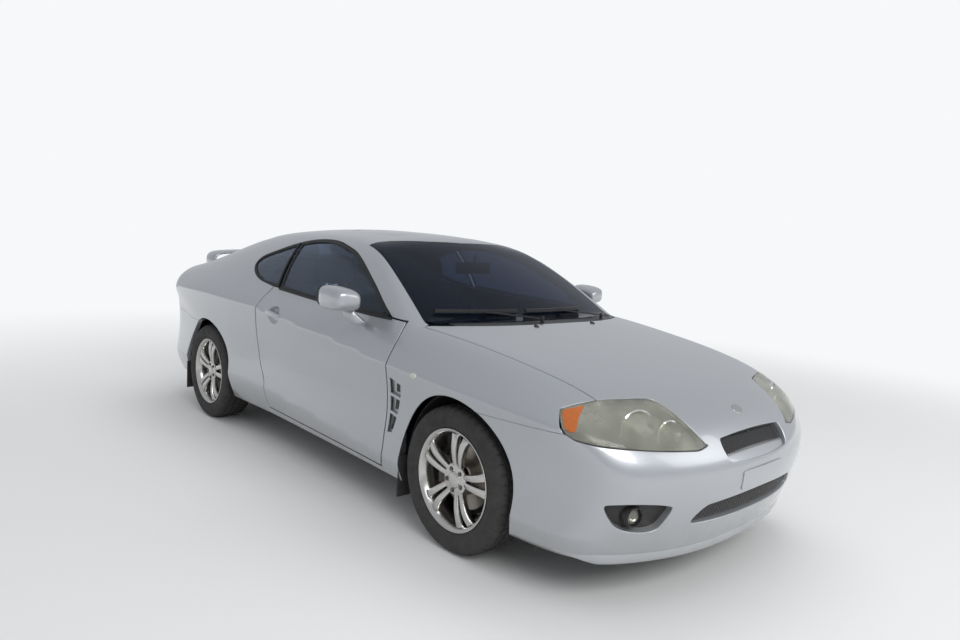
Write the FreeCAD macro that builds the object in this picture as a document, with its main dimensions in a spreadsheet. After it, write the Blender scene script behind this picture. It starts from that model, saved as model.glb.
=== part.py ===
# Two-door liftback coupe, modelled as its separate panels, glass, lamps, seats and running gear.
# The frame: +X forward, +Y to the left, +Z up, origin on the ground below the middle of the car. Millimetres.
import FreeCAD
import Part
import math
import os
from FreeCAD import Placement, Rotation, Vector

doc = FreeCAD.newDocument("Coupe")
sheet = doc.addObject("Spreadsheet::Sheet", "Sizes")

# Driving dimensions: alias, value, what it is
SIZES = [
    ("wheelbase", 2530, "front to rear axle"),
    ("front_overhang", 935, "front axle to nose"),
    ("rear_overhang", 930, "rear axle to tail"),
    ("body_width", 1760, "over the body sides"),
    ("body_height", 1330, "ground to roof"),
    ("track", 1490, "between wheel centre planes"),
    ("tyre_radius", 313, "loaded rolling radius"),
    ("tyre_width", 205, "section width"),
    ("tyre_bevel", 12, "shoulders of the tyres"),
    ("rim_radius", 218, "over the rim flange"),
    ("rim_width", 186, "between the flange faces"),
    ("disc_radius", 140, "brake disc"),
    ("disc_thickness", 24, "brake disc"),
    ("hub_radius", 34, "centre cap"),
    ("spoke_width", 25, "one spoke of a pair"),
    ("arch_radius", 358, "wheel arch opening"),
    ("shut_gap", 7, "gap round doors, bonnet and tailgate"),
    ("seat_gap", 0.3, "between a piece and its seat"),
    ("skin", 6, "front wing panel and door flange"),
    ("wall", 62, "roof pillars"),
    ("vent_depth", 20, "well of the vents in the front wings"),
    ("handle_radius", 46, "round hollow behind each door handle"),
    ("door_inner", 712, "door and sill inner face, from the middle"),
    ("lid", 22, "bonnet"),
    ("roof_skin", 26, "roof panel and lining"),
    ("tailgate_skin", 32, "tailgate"),
    ("bumper_skin", 34, "bumper shells"),
    ("glass", 6, "all panes"),
    ("lamp_depth", 60, "lamp housings"),
    ("floor_height", 190, "underside of the floor"),
    ("floor_skin", 14, "floor panel"),
    ("sill_bottom", 205, "lower edge of the side skirt"),
    ("steering_offset", 20, "steering axis inboard of the wheel centre plane"),
    ("spindle_radius", 20, "wheel spindles"),
    ("running_gap", 3, "brake disc to caliper and knuckle"),
    ("hub_face", 45, "rim mounting face, outboard of the wheel centre plane"),
    ("rim_wall", 7, "rim barrel"),
    ("cabin_rear", -840, "kick-up of the floor behind the cabin"),
    ("boot_floor", 400, "height of the boot floor"),
    ("firewall", 20, "bulkhead between engine and cabin"),
    ("liner", 8, "wheel arch liners"),
    ("hinge_set_back", 86, "door hinge axis behind the door's leading edge"),
    ("hinge_radius", 8, "knuckles of the door hinges"),
    ("hinge_pin", 5, "hinge pins of the doors"),
    ("arm_height", 142, "underside of the front lower arms"),
    ("rail_y", 400, "inner face of the front frame rails"),
    ("tow_bore", 12.5, "radius of the bores of both tow hooks"),
    ("tow_plate", 12, "thickness of the tow hooks"),
    ("tunnel_width", 250, "centre tunnel"),
    ("tunnel_height", 190, "centre tunnel above the floor"),
    ("seat_y", 365, "middle of each front seat"),
    ("seat_x", -230, "front edge of the backrest foot"),
    ("seat_width", 470, "front seats"),
    ("cushion_height", 130, "seat cushions"),
    ("steering_wheel_radius", 188, "over the rim of the steering wheel"),
    ("steering_wheel_rim", 15, "radius of the steering wheel's rim"),
    ("exhaust_radius", 27, "exhaust pipe"),
    ("silencer_radius", 90, "silencer across the tail"),
    ("engine_length", 420, "engine and gearbox, along the car"),
    ("engine_width", 780, "engine and gearbox, across the car"),
    ("engine_height", 480, "engine and gearbox"),
]
for row, (alias, value, note) in enumerate(SIZES, 1):
    sheet.set("A%d" % row, alias.replace("_", " "))
    sheet.set("B%d" % row, str(value))
    sheet.setAlias("B%d" % row, alias)
    sheet.set("C%d" % row, note)
doc.recompute()


def size(alias):
    return float(sheet.get(alias))


FRONT = size("wheelbase") / 2 + (size("rear_overhang") - size("front_overhang")) / 2
REAR = FRONT - size("wheelbase")
NOSE = FRONT + size("front_overhang")
TAIL = REAR - size("rear_overhang")
GAP = size("shut_gap")
SEAT = size("seat_gap")
GLASS = size("glass")


def straight(x, knots):
    """Linear interpolation in a table of (x, value), carried on beyond its ends."""
    for (xa, a), (xb, b) in zip(knots, knots[1:]):
        if x <= xb:
            break
    return a + (b - a) * (x - xa) / (xb - xa)


# The styling is drawn on these planes; panels follow the axles, overhangs, width and height from them
ALONG = [(-2197.5, TAIL), (-1267.5, REAR), (1262.5, FRONT), (2197.5, NOSE)]
UP = [(0, 0), (313, 313), (1330, size("body_height"))]


def at(x, y, z):
    """A point of the styling drawing, moved to the car's own wheelbase, overhangs, width and height."""
    return Vector(straight(x, ALONG), y * size("body_width") / 1760, straight(z, UP))


class Curve:
    """Natural cubic spline through a table of (x, value), straight beyond its ends."""

    def __init__(self, knots):
        self.x = [k[0] for k in knots]
        self.v = [k[1] for k in knots]
        n = len(knots)
        m = [0.0] * n
        a = [0.0] * n
        b = [0.0] * n
        for i in range(1, n - 1):
            h0 = self.x[i] - self.x[i - 1]
            h1 = self.x[i + 1] - self.x[i]
            d = 6 * ((self.v[i + 1] - self.v[i]) / h1 - (self.v[i] - self.v[i - 1]) / h0)
            p = 2 * (h0 + h1) - h0 * a[i - 1]
            a[i] = h1 / p
            b[i] = (d - h0 * b[i - 1]) / p
        for i in range(n - 2, 0, -1):
            m[i] = b[i] - a[i] * m[i + 1]
        self.m = m

    def __call__(self, x):
        c = min(max(x, self.x[0]), self.x[-1])
        i = 0
        while i < len(self.x) - 2 and c > self.x[i + 1]:
            i += 1
        h = self.x[i + 1] - self.x[i]
        t = (c - self.x[i]) / h
        s = 1 - t
        m0, m1, v0, v1 = self.m[i], self.m[i + 1], self.v[i], self.v[i + 1]
        value = v0 * s + v1 * t + h * h / 6 * ((s ** 3 - s) * m0 + (t ** 3 - t) * m1)
        if c == x:
            return value
        slope = (v1 - v0) / h + h / 6 * ((1 - 3 * s * s) * m0 + (3 * t * t - 1) * m1)
        return value + slope * (x - c)


# Lower body sections: station x, half width, crease height, belt half width, belt height
STATIONS = [
    (-2200, 790, 760, 700, 960),
    (-1800, 846, 830, 735, 965),
    (-1270, 876, 850, 770, 975),
    (-800, 866, 842, 780, 960),
    (-300, 858, 805, 778, 945),
    (300, 856, 765, 775, 928),
    (800, 862, 720, 762, 915),
    (1260, 872, 700, 735, 870),
    (1700, 850, 680, 690, 800),
    (2100, 780, 640, 600, 700),
]
half_width, crease, belt_width, belt = [Curve([(s[0], s[i]) for s in STATIONS]) for i in (1, 2, 3, 4)]
# Middle line of bonnet and rear deck: x, height
deck = Curve([(-2200, 955), (-2000, 985), (-1600, 1000), (-1200, 990), (-600, 970), (0, 965), (500, 965),
              (900, 945), (1300, 893), (1700, 825), (1950, 765), (2100, 700), (2160, 640)])
# Nose and tail profiles on the middle plane: height, x
nose = Curve([(150, 2080), (200, 2115), (280, 2150), (400, 2185), (500, 2197.5), (560, 2185), (620, 2150),
              (680, 2100), (740, 2030)])
tail = Curve([(180, -2130), (300, -2170), (500, -2197.5), (650, -2190), (800, -2160), (950, -2120),
              (1000, -2100)])
# Roof: x, rail half width; x, rail height; x, middle height
rail_width = Curve([(-1900, 500), (-1400, 535), (-1000, 565), (-500, 585), (0, 585), (300, 575), (800, 550)])
rail = Curve([(-1900, 1060), (-1400, 1170), (-1000, 1225), (-500, 1265), (0, 1268), (300, 1255), (800, 1220)])
roof = Curve([(-2100, 960), (-1900, 1030), (-1600, 1135), (-1300, 1225), (-1000, 1288), (-700, 1320),
              (-350, 1332), (0, 1325), (300, 1300), (600, 1260)])
# Edge between body side and roof, windscreen and tailgate: x, half width
edge = Curve([(-2100, 610), (-1600, 578), (-1270, 562), (-950, 552), (-500, 560), (0, 562), (200, 586),
              (500, 640), (800, 695), (900, 712)])
# Edge between front wing and bonnet: x, half width
bonnet_edge = Curve([(838, 737), (1049, 720), (1262, 700), (1461, 686), (1642, 671), (1815, 652)])


def join(a, b, k):
    """The larger of two, rounded over k."""
    h = max(k - abs(a - b), 0) / k
    return max(a, b) + h * h * h * k / 6


def lower(x, y, z):
    """Signed distance, about, of the body below the glass: negative inside."""
    w, zc, yb, zb = half_width(x), crease(x), belt_width(x), belt(x)
    skirt = min(max(345 - x / 16, 290), 370)
    if z > zc:
        side = w - (w - yb) * ((z - zc) / (zb - zc)) ** 1.25
    elif z > skirt:
        t = (zc - z) / (zc - skirt)
        side = w - 30 * math.sin(math.pi * t) - 12 * t
    else:
        side = w - 12 - 50 * ((skirt - z) / 150) ** 1.5
    middle = deck(x)
    top = middle - (middle - zb) * (y / yb) ** 2.2
    f = join(y - side, z - top, 100)
    f = join(f, x - nose(z) + 213 * (y / 800) ** 2.4, 160)
    f = join(f, tail(z) + 200 * (y / 800) ** 2.6 - x, 160)
    return join(f, 190 - z, 30)


def upper(x, y, z):
    """The same for the roof and its pillars."""
    yb, zb, yr, zr = belt_width(x) + 5, belt(x), rail_width(x), rail(x)
    t = (z - zb) / (zr - zb)
    side = yb + (yr - yb) * t + 80 * t * (1 - t)
    f = join((y - side) * 0.9, z - roof(x) + 55 * (y / 580) ** 2.2, 90)
    t = (z - 950) / 335
    screen = 930 - 630 * t + 80 * t * (1 - t) - 135 * (y / 700) ** 2
    f = join(f, (x - screen) * 0.47, 50)
    f = join(f, tail(z) + 200 * (y / 800) ** 2.6 - x, 160)
    return max(f, 550 - z)


BLEND = [(-1600, 160), (-900, 120), (-400, 30), (600, 20)]


def body(x, y, z):
    k = straight(min(max(x, -1600), 600), BLEND)
    return -join(-lower(x, abs(y), z), -upper(x, abs(y), z), k)


def cast(origin, ray):
    """Where a ray from inside the body meets its outer surface, in the styling drawing."""
    ray = Vector(ray).normalize()
    far = 0.0
    while body(*(origin + ray * far)) < 0 and far < 2500:
        far += 50
    near = max(far - 50, 0)
    for i in range(20):
        mid = (near + far) / 2
        if body(*(origin + ray * mid)) < 0:
            near = mid
        else:
            far = mid
    return origin + ray * far


def inward(p, depth, across):
    """A point of the surface moved in by a depth, square to the surface, within a section's plane."""
    f = body(p.x, p.y, p.z)
    n = Vector(body(p.x + 2, p.y, p.z) - f, body(p.x, p.y + 2, p.z) - f, body(p.x, p.y, p.z + 2) - f)
    n.normalize()
    flat = n - across * n.dot(across)
    share = max(flat.Length, 0.7)
    return p - flat.normalize() * (depth / share)


def section(outer, inner):
    """A closed wire: along the outer points, then back along the inner ones."""
    points = outer + inner[::-1]
    return Part.makePolygon(points + [points[0]])


def loft(wires):
    """A solid through closed sections."""
    made = Part.makeLoft(wires, True, False)
    if made.Volume < 0:
        made.reverse()
    return made


def shell(rows, depth, sink=0):
    """A panel of even depth below the outer surface, from rows of (plane normal, [(origin, ray)])."""
    wires = []
    for across, row in rows:
        hits = [cast(o, r) for o, r in row]
        outer = [at(*inward(p, sink, across)) if sink else at(*p) for p in hits]
        inner = [at(*inward(p, sink + depth, across)) for p in hits]
        wires.append(section(outer, inner))
    return loft(wires)


def prism(points, direction, reach=4000, grow=0):
    """A long block of the outline of the points, seen along a direction."""
    direction = Vector(direction).normalize()
    flat = [p - direction * p.dot(direction) for p in points]
    wire = Part.makePolygon(flat + [flat[0]])
    if grow:
        wire = wire.makeOffset2D(grow, 2)
    face = Part.Face(wire)
    face.translate(direction * -reach / 2)
    return face.extrude(direction * reach)


def side_prism(outline, grow=0, near=-1200, far=-300):
    """A block of an outline (x, z), from y near to y far."""
    block = prism([at(x, 0, z) for x, z in outline], Vector(0, 1, 0), far - near, grow)
    block.translate(Vector(0, (near + far) / 2, 0))
    return block


def top_prism(outline, grow=0):
    """A block of an outline (x, half width), seen from above and mirrored about the middle."""
    points = [at(x, -y, 0) for x, y in outline] + [at(x, y, 0) for x, y in outline[::-1] if y > 0]
    return prism(points, Vector(0, 0, 1), 4000, grow)


def drum(x, y, z, radius, width):
    """A cylinder across the car, centred at a point."""
    return Part.makeCylinder(radius, width, Vector(x, y - width / 2, z), Vector(0, 1, 0))


def arch_cutter(x, radius, width, y=0):
    """The space of a wheel arch: round above the axle, straight sides below it."""
    z = size("tyre_radius")
    low = Part.makeBox(2 * radius, width, z, Vector(x - radius, y - width / 2, 0))
    return drum(x, y, z, radius, width).fuse(low)


def feature(label, shape):
    made = doc.addObject("Part::Feature", label)
    made.Label = label
    made.Shape = shape
    made.Placement = Placement()
    return made


def mirrored(label, source):
    made = doc.addObject("Part::Mirroring", label)
    made.Label = label
    made.Source = source
    made.Normal = Vector(0, 1, 0)
    made.Base = Vector(0, 0, 0)
    return made


def pair(shape):
    """A shape and its mirror image across the middle of the car."""
    return Part.makeCompound([shape, shape.mirror(Vector(0, 0, 0), Vector(0, 1, 0))])


PIECES = []


def piece(made):
    PIECES.append(made)
    return made


# Side view outlines, right side: x, height. The door, without its glass
DOOR = [(-420, 250), (-440, 400), (-525, 510), (-556, 690), (-540, 820), (-512, 900), (-470, 961), (-417, 959),
        (0, 939), (477, 924), (706, 921), (800, 917), (800, 830), (790, 722), (772, 560), (764, 400), (772, 296),
        (758, 236), (90, 243)]
# Side glass opening, from the belt round the roof rail
WINDOW = [(706, 921), (477, 924), (0, 939), (-417, 959), (-523, 966), (-687, 989), (-798, 1029), (-850, 1078),
          (-821, 1121), (-678, 1170), (-476, 1227), (-298, 1256), (-120, 1259), (10, 1241), (188, 1196),
          (455, 1067), (620, 972)]
# Front wing: rear edge, bumper line, lamp and bonnet end
DOOR_FRONT = [(800, 960), (800, 830), (790, 722), (772, 560), (764, 400), (772, 296), (758, 200)]
WING = [(x + GAP, z) for x, z in DOOR_FRONT] + [(1100, 200), (1300, 640), (1735, 650), (1900, 649), (1900, 960)]
HINGE = at(790, -828, 0) + Vector(-size("hinge_set_back"), 0, 0)


# Body side from sill to roof edge
def side_points(x, top):
    """Outer points of one section: sill, skirt crease, body crease, belt, then round to the roof edge."""
    skirt, zc, zb = min(max(345 - x / 16, 290), 370), crease(x), belt(x)
    heights = [size("sill_bottom"), (size("sill_bottom") + skirt) / 2, skirt]
    heights += [skirt + (zc - skirt) * t for t in (0.25, 0.5, 0.75, 1)]
    heights += [zc + (zb - zc) * t for t in (0.45, 0.85)]
    points = [cast(Vector(x, -400, z), (0, -1, 0)) for z in heights]
    last = cast(Vector(x, -top, 600), (0, 0, 1))
    start = Vector(x, -300, 700)
    a = math.atan2(points[-1].z - start.z, -points[-1].y + start.y)
    b = math.atan2(last.z - start.z, -last.y + start.y)
    for t in (0.25, 0.5, 0.75):
        v = a + (b - a) * t
        points.append(cast(start, (0, -math.cos(v), math.sin(v))))
    return points + [last]


def body_side():
    wires = []
    for x in (-2030, -1850, -1550, -1267, -900, -500, 0, 450, 880):
        outer = side_points(x, edge(x) - 14)
        top = outer[-1]
        wall = size("wall")
        inside = min([size("door_inner")] + [-p.y - 45 for p in outer[:9]])
        inner = [Vector(x, -inside, outer[0].z), Vector(x, -inside, min(belt(x) - 40, top.z - wall - 12))]
        inner.append(Vector(x, top.y, top.z - (wall if x < 500 else 45)))
        wires.append(section([at(*p) for p in outer], [at(*p) for p in inner]))
    return loft(wires)


EDGE_X = (-2130, -1900, -1600, -1270, -950, -500, 0, 200, 500, 700, 900)
EDGE = [(-2130, 0)] + [(x, edge(x)) for x in EDGE_X] + [(900, 0)]
base = body_side().cut(top_prism(EDGE))
arch_front = arch_cutter(FRONT, size("arch_radius"), 4000)
arch_rear = arch_cutter(REAR, size("arch_radius"), 4000)
door_block = side_prism(DOOR)
REAR_LINE = [(-1300, 100), (-1300, 640), (-1600, 640), (-1700, 668), (-2400, 668), (-2400, 100)]
FRONT_LINE = [(1300, 100), (1300, 640), (1735, 650), (2300, 640), (2300, 100)]
LAMP_REAR = [(-1930, 690), (-1925, 760), (-1960, 850), (-2400, 880), (-2400, 690)]

side = base.cut(side_prism(DOOR, GAP))
side = side.cut(side_prism(WINDOW, 0, -1200, -350))
side = side.cut(arch_rear)
side = side.cut(side_prism(REAR_LINE, 0, -1200, 0))
side = side.cut(side_prism(LAMP_REAR, SEAT, -1200, 0))
jamb = side_prism(DOOR, GAP, -at(0, 800, 0).y, 0)
jamb.translate(Vector(-8, 0, 0))
side = side.cut(jamb)
side = side.cut(Part.makeBox(400, 900, 900, at(800, -900, 150) + Vector(GAP - SEAT, 0, 0)))
side = side.cut(side_prism(WING, SEAT, -1200, 0))
WALL_X = FRONT - size("arch_radius") - size("liner") - SEAT - size("firewall")
POST_X = at(800, 0, 0).x + GAP - SEAT
HR, PIN = size("hinge_radius"), size("hinge_pin")
HINGE_Z = (at(0, 0, 300).z, at(0, 0, 700).z)
post = Part.makeBox(WALL_X - SEAT - POST_X + 2, 67, at(0, 0, 770).z - 212, Vector(POST_X - 2, -at(0, 780, 0).y, 212))
upright = Part.makeBox(WALL_X - SEAT - POST_X + 2, 32, 111, Vector(POST_X - 2, -at(0, 745, 0).y, at(0, 0, 769).z))
post = post.fuse(upright)
post = post.fuse(Part.makeBox(20, 32, 51, Vector(POST_X - 20, -at(0, 745, 0).y, at(0, 0, 878).z)))
for z in HINGE_Z:
    reach = HINGE.y + at(0, 740, 0).y
    arm = Part.makeBox(14, -reach, 18, Vector(HINGE.x - 7, HINGE.y, z - 9))
    arm = arm.fuse(Part.makeBox(POST_X - HINGE.x + 7, 14, 18, Vector(HINGE.x - 7, HINGE.y - reach - 14, z - 9)))
    arm = arm.fuse(Part.makeCylinder(HR, 18, Vector(HINGE.x, HINGE.y, z - 9)))
    post = post.fuse(arm).fuse(Part.makeCylinder(PIN, 60, Vector(HINGE.x, HINGE.y, z - 30)))
# Pin of the bonnet hinge, on a lug of the hinge post
LID_PIN = at(862, -690, 905)
lug = Part.makeBox(14, 11, 44, Vector(LID_PIN.x - 7, -at(0, 724, 0).y, LID_PIN.z - 36))
post = post.fuse(lug).fuse(Part.makeCylinder(4, 34, LID_PIN, Vector(0, -1, 0)))
side = side.fuse(post)
side_right = piece(feature("side_right", side.removeSplitter()))
side_left = piece(mirrored("side_left", side_right))


def front_wing(stations, depth, sink=0):
    """The skin of a front wing, as deep as asked, below the outer surface."""
    ahead = Vector(1, 0, 0)
    wires = []
    for x in stations:
        hits = side_points(x, bonnet_edge(x) - 6)
        outer = [at(*inward(p, sink, ahead)) if sink else at(*p) for p in hits]
        wires.append(section(outer, [at(*inward(p, sink + depth, ahead)) for p in hits]))
    return loft(wires)


# Door: full depth behind the hinges, ahead of them only its outer flange, with a bored eye at each hinge
recess = HINGE.x - 26
door = base.common(door_block)
door = door.cut(Part.makeBox(400, 900, 1200, Vector(recess, -900, 0)))
flange = front_wing((660, 720, 760, 806), size("skin")).common(door_block)
flange = flange.cut(Part.makeBox(400, 900, 1200, Vector(recess - 401, -900, 0)))
flange = flange.cut(Part.makeBox(400, 400, 300, Vector(recess - 100, -at(0, 757, 0).y, at(0, 0, 750).z)))
door = door.fuse(flange)
for z in HINGE_Z:
    for low in (z - 27, z + 9 + SEAT):
        eye = Part.makeCylinder(HR, 18 - SEAT, Vector(HINGE.x, HINGE.y, low)).fuse(
            Part.makeBox(HINGE.x - recess + 2, 10, 18 - SEAT, Vector(recess - 2, HINGE.y - 1, low)))
        eye = eye.cut(Part.makeCylinder(PIN + SEAT, 40, Vector(HINGE.x, HINGE.y, low - 10)))
        door = door.fuse(eye)
# Handle: a round hollow with a grip across it
HANDLE = cast(Vector(-330, -400, 812), (0, -1, 0))
HANDLE = at(HANDLE.x, HANDLE.y, HANDLE.z)
HAND = size("handle_radius")
door = door.cut(Part.makeCylinder(HAND, 60, HANDLE + Vector(0, 18, 0), Vector(0, -1, 0)))
grip = Part.makeBox(2 * HAND + 12, 9, 22, HANDLE + Vector(-HAND - 6, 3, -8))
door = door.fuse(grip)
door_right = piece(feature("door_right", door))
door_left = piece(mirrored("door_left", door_right))

# Headlamp outline on the body surface, right side: x, y, z
LAMP = [(1766, -771, 727), (1793, -724, 742), (1827, -647, 757), (1864, -542, 761), (1905, -425, 755),
        (1930, -400, 749), (1975, -385, 731), (2037, -370, 692), (2101, -346, 638), (2125, -331, 611),
        (2123, -385, 601), (2110, -436, 603), (2056, -579, 612), (1992, -697, 622), (1931, -769, 629),
        (1871, -805, 638), (1832, -816, 655), (1800, -807, 690)]
LAMP_VIEW = Vector(0.72, -0.42, 0.55)


def toward(points, view, reach, grow=0):
    block = prism(points, view, reach, grow)
    view = Vector(view).normalize()
    centre = sum((p.dot(view) for p in points)) / len(points)
    block.translate(view * centre)
    return block


def fan(x0, z0, turns, lifts, depth, sink=0):
    """A shell round an upright axis: rows by the turn from straight ahead, points by the lift."""
    rows = []
    for turn in turns:
        row = []
        for lift in lifts:
            a, b = math.radians(turn), math.radians(lift)
            row.append((Vector(x0, 0, z0), Vector(math.cos(a) * math.cos(b), math.sin(a) * math.cos(b), math.sin(b))))
        rows.append((Vector(-math.sin(math.radians(turn)), math.cos(math.radians(turn)), 0), row))
    return shell(rows, depth, sink)


def band(x0, turns, heights, depth, sink=0):
    """A shell round an upright axis with level rays: rows by the turn, points by the height."""
    rows = []
    for turn in turns:
        a = math.radians(turn)
        row = [(Vector(x0, 0, z), Vector(math.cos(a), math.sin(a), 0)) for z in heights]
        rows.append((Vector(-math.sin(a), math.cos(a), 0), row))
    return shell(rows, depth, sink)


lamp_points = [at(*p) for p in LAMP]
lamp_shell = fan(1300, 450, (-60, -50, -40, -30, -20, -10), (6, 10, 15, 20, 26), size("lamp_depth"), 2)
headlamp = lamp_shell.common(toward(lamp_points, LAMP_VIEW, 500))
lamp_hole = toward(lamp_points, LAMP_VIEW, 500, SEAT)
lamp_hole_left = lamp_hole.mirror(Vector(0, 0, 0), Vector(0, 1, 0))
lamp_gap = toward(lamp_points, LAMP_VIEW, 500, GAP)
lamp_gap_left = lamp_gap.mirror(Vector(0, 0, 0), Vector(0, 1, 0))

wing = front_wing((760, 900, 1080, 1262, 1450, 1620, 1780, 1900), size("skin"))
wing = wing.common(side_prism(WING, 0, -1200, -300))
HOOD = [(700, 0), (700, 760)] + [(x, bonnet_edge(x)) for x in (800, 900, 1049, 1262, 1461, 1642, 1815)]
HOOD += [(1900, 642), (2300, 600), (2300, 0)]
wing = wing.cut(arch_front).cut(lamp_hole).cut(top_prism(HOOD))
# Vent behind the wheel: an opening with a sunk back and two bars across it
VENT = [(812, 668), (903, 645), (826, 412), (788, 405)]
VENT_BARS = [(590, 14), (500, 14)]
around = side_prism(VENT, size("skin") / 2, -1200, -700)
opening = side_prism(VENT, 0, -1200, -700)
box = front_wing((760, 840, 920), size("vent_depth")).common(around)
back = front_wing((760, 840, 920), size("skin") / 2, size("vent_depth") - size("skin") / 2).common(around)
vent = box.cut(opening).fuse(back)
for z, high in VENT_BARS:
    bar = [(700, z - high / 2), (1000, z - high / 2 - 12), (1000, z + high / 2 - 12), (700, z + high / 2)]
    vent = vent.fuse(box.common(side_prism(bar, 0, -1200, -700)))
wing = wing.cut(opening).fuse(vent)
wing_right = piece(feature("wing_right", wing))
wing_left = piece(mirrored("wing_left", wing_right))
headlamps = piece(feature("headlamps", pair(headlamp)))

# Front bumper: a band round the nose, from the lip to the lamps, with its openings
bumper = band(1300, (-80, -70, -58, -45, -30, -15, 0, 15, 30, 45, 58, 70, 80),
              (192, 240, 320, 400, 480, 570, 655), size("bumper_skin"))
bumper = bumper.common(side_prism(FRONT_LINE, -SEAT, -1200, 1200))
bumper = bumper.cut(arch_front).cut(lamp_hole).cut(lamp_hole_left)
GRILLE = [(-250, 590), (-225, 545), (225, 545), (250, 590), (235, 626), (-235, 626)]
INTAKE = [(-400, 330), (-300, 318), (300, 318), (400, 330), (330, 392), (-330, 392)]
FOG = [(-740, 421), (-520, 408), (-530, 352), (-560, 316), (-650, 318), (-715, 350)]


def front_prism(outline, grow=0):
    """A block of an outline (y, z) ahead of the front axle."""
    block = prism([at(0, y, z) for y, z in outline], Vector(1, 0, 0), 900, grow)
    block.translate(Vector(FRONT + 450 + 300, 0, 0))
    return block


for outline in (GRILLE, INTAKE, FOG, [(-y, z) for y, z in FOG]):
    bumper = bumper.cut(front_prism(outline))
pad = Part.makeBox(60, 320, 80, Vector(NOSE - 60, -160, at(0, 0, 420).z))
pad_cut = band(1300, (-12, -6, 0, 6, 12), (380, 420, 460, 500, 540), 300, 20)
bumper = bumper.fuse(pad.cut(pad_cut))
front_bumper = piece(feature("front_bumper", bumper))

# Bonnet: long sections from the scuttle to the nose
BONNET = [(1090, 0), (1078, 250), (1035, 450), (950, 640), (880, 735), (900, 760), (1700, 760), (1780, 700),
          (1835, 625), (1868, 540), (1905, 418), (1930, 392), (2037, 362), (2101, 338), (2112, 250), (2120, 0)]
rows = []
for y in (-745, -600, -400, -200, 0, 200, 400, 600, 745):
    aims = [(860, 90), (1050, 90), (1250, 90), (1450, 85), (1650, 80), (1800, 72), (1850, 60), (1880, 45), (1890, 30)]
    row = []
    for x, lift in aims:
        b = math.radians(lift)
        row.append((Vector(x, y, 520), Vector(math.cos(b), 0, math.sin(b))))
    rows.append((Vector(0, 1, 0), row))
lid = shell(rows, size("lid")).common(top_prism(BONNET)).common(top_prism(HOOD, -GAP))
lid = lid.cut(lamp_gap).cut(lamp_gap_left)
lid = lid.cut(Part.makeBox(900, 2000, at(0, 0, 645).z + GAP, Vector(FRONT + 300, -1000, 0)))
for hand in (-1, 1):
    eye = Part.makeCylinder(8, 12, Vector(LID_PIN.x, hand * LID_PIN.y - 6 - hand * 10, LID_PIN.z), Vector(0, 1, 0))
    eye = eye.fuse(Part.makeBox(62, 12, 14, Vector(LID_PIN.x, hand * LID_PIN.y - 6 - hand * 10, LID_PIN.z - 8)))
    bore = Part.makeCylinder(4 + SEAT, 60, Vector(LID_PIN.x, hand * LID_PIN.y - 30, LID_PIN.z), Vector(0, 1, 0))
    lid = lid.fuse(eye.cut(bore))
bonnet = piece(feature("bonnet", lid))


def strip(ys, stops, depth, sink=0):
    """A crowned panel: rows across the car, points at stops (x, z, lift) of origin and ray lift, or stops(y)."""
    made = []
    for y in ys:
        row = []
        for x, z, lift in stops(y) if callable(stops) else stops:
            b = math.radians(lift)
            row.append((Vector(x, y, z), Vector(math.cos(b), 0, math.sin(b))))
        made.append((Vector(0, 1, 0), row))
    return shell(made, depth, sink)


ROOF_FRONT, ROOF_REAR = 292, -925
GATE_X, GATE_HINGE_Y = -935, 140
roof_outline = [(ROOF_FRONT, 0), (ROOF_FRONT - 25, 250), (ROOF_FRONT - 95, 500)] + \
    [(ROOF_FRONT - 110, 700), (ROOF_REAR, 700), (ROOF_REAR, 0)]
panel = strip((-572, -400, -200, 0, 200, 400, 572), [(-1000, 800, 90), (-650, 800, 90), (-300, 800, 90),
              (50, 800, 90), (340, 800, 90)], size("roof_skin"))
SUNROOF = [(130, 0), (115, 250), (85, 340), (-250, 352), (-335, 330), (-345, 0)]
panel = panel.common(top_prism(roof_outline)).common(top_prism(EDGE, -SEAT)).cut(top_prism(SUNROOF, SEAT))
GATE_PIN = cast(Vector(GATE_X, GATE_HINGE_Y, 900), (0, 0, 1))
GATE_PIN = at(GATE_PIN.x, GATE_PIN.y, GATE_PIN.z) + Vector(0, 0, -6)
for hand in (-1, 1):
    middle = hand * GATE_PIN.y
    panel = panel.fuse(Part.makeBox(26, 12, 8, Vector(GATE_PIN.x, middle - 6, GATE_PIN.z - 4)))
    panel = panel.fuse(Part.makeCylinder(3.5, 28, Vector(GATE_PIN.x, middle - 14, GATE_PIN.z), Vector(0, 1, 0)))
roof_panel = piece(feature("roof", panel))
pane = strip((-400, -200, 0, 200, 400), [(-400, 800, 90), (-130, 800, 90), (160, 800, 90)], GLASS, 1)
sunroof = piece(feature("sunroof_glass", pane.common(top_prism(SUNROOF))))

SCREEN = [(1012, 0), (1000, 250), (965, 420), (895, 600), (830, 690), (800, 760), (170, 760), (180, 581),
          (ROOF_FRONT - 95 + SEAT, 500), (ROOF_FRONT - 25 + SEAT, 250), (ROOF_FRONT + SEAT, 0)]


def foot_of(y):
    """Where the windscreen meets the line of the bonnet."""
    return 945 - 135 * (y / 700) ** 2


def screen_stops(y):
    upper_rays = [(150, 700, 75), (220, 700, 65), (290, 700, 50), (350, 700, 35)]
    return upper_rays + [(foot_of(y) + x, 600, 90) for x in (-35, 0, 100)]


pane = strip((-730, -600, -400, -200, 0, 200, 400, 600, 730), screen_stops, GLASS, 2)
SCREEN_EDGE = EDGE[:-1] + [(1150, edge(900)), (1150, 0)]
screen_pane = pane.common(top_prism(SCREEN)).common(top_prism(SCREEN_EDGE, -SEAT))
windscreen = piece(feature("windscreen", screen_pane))

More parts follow.
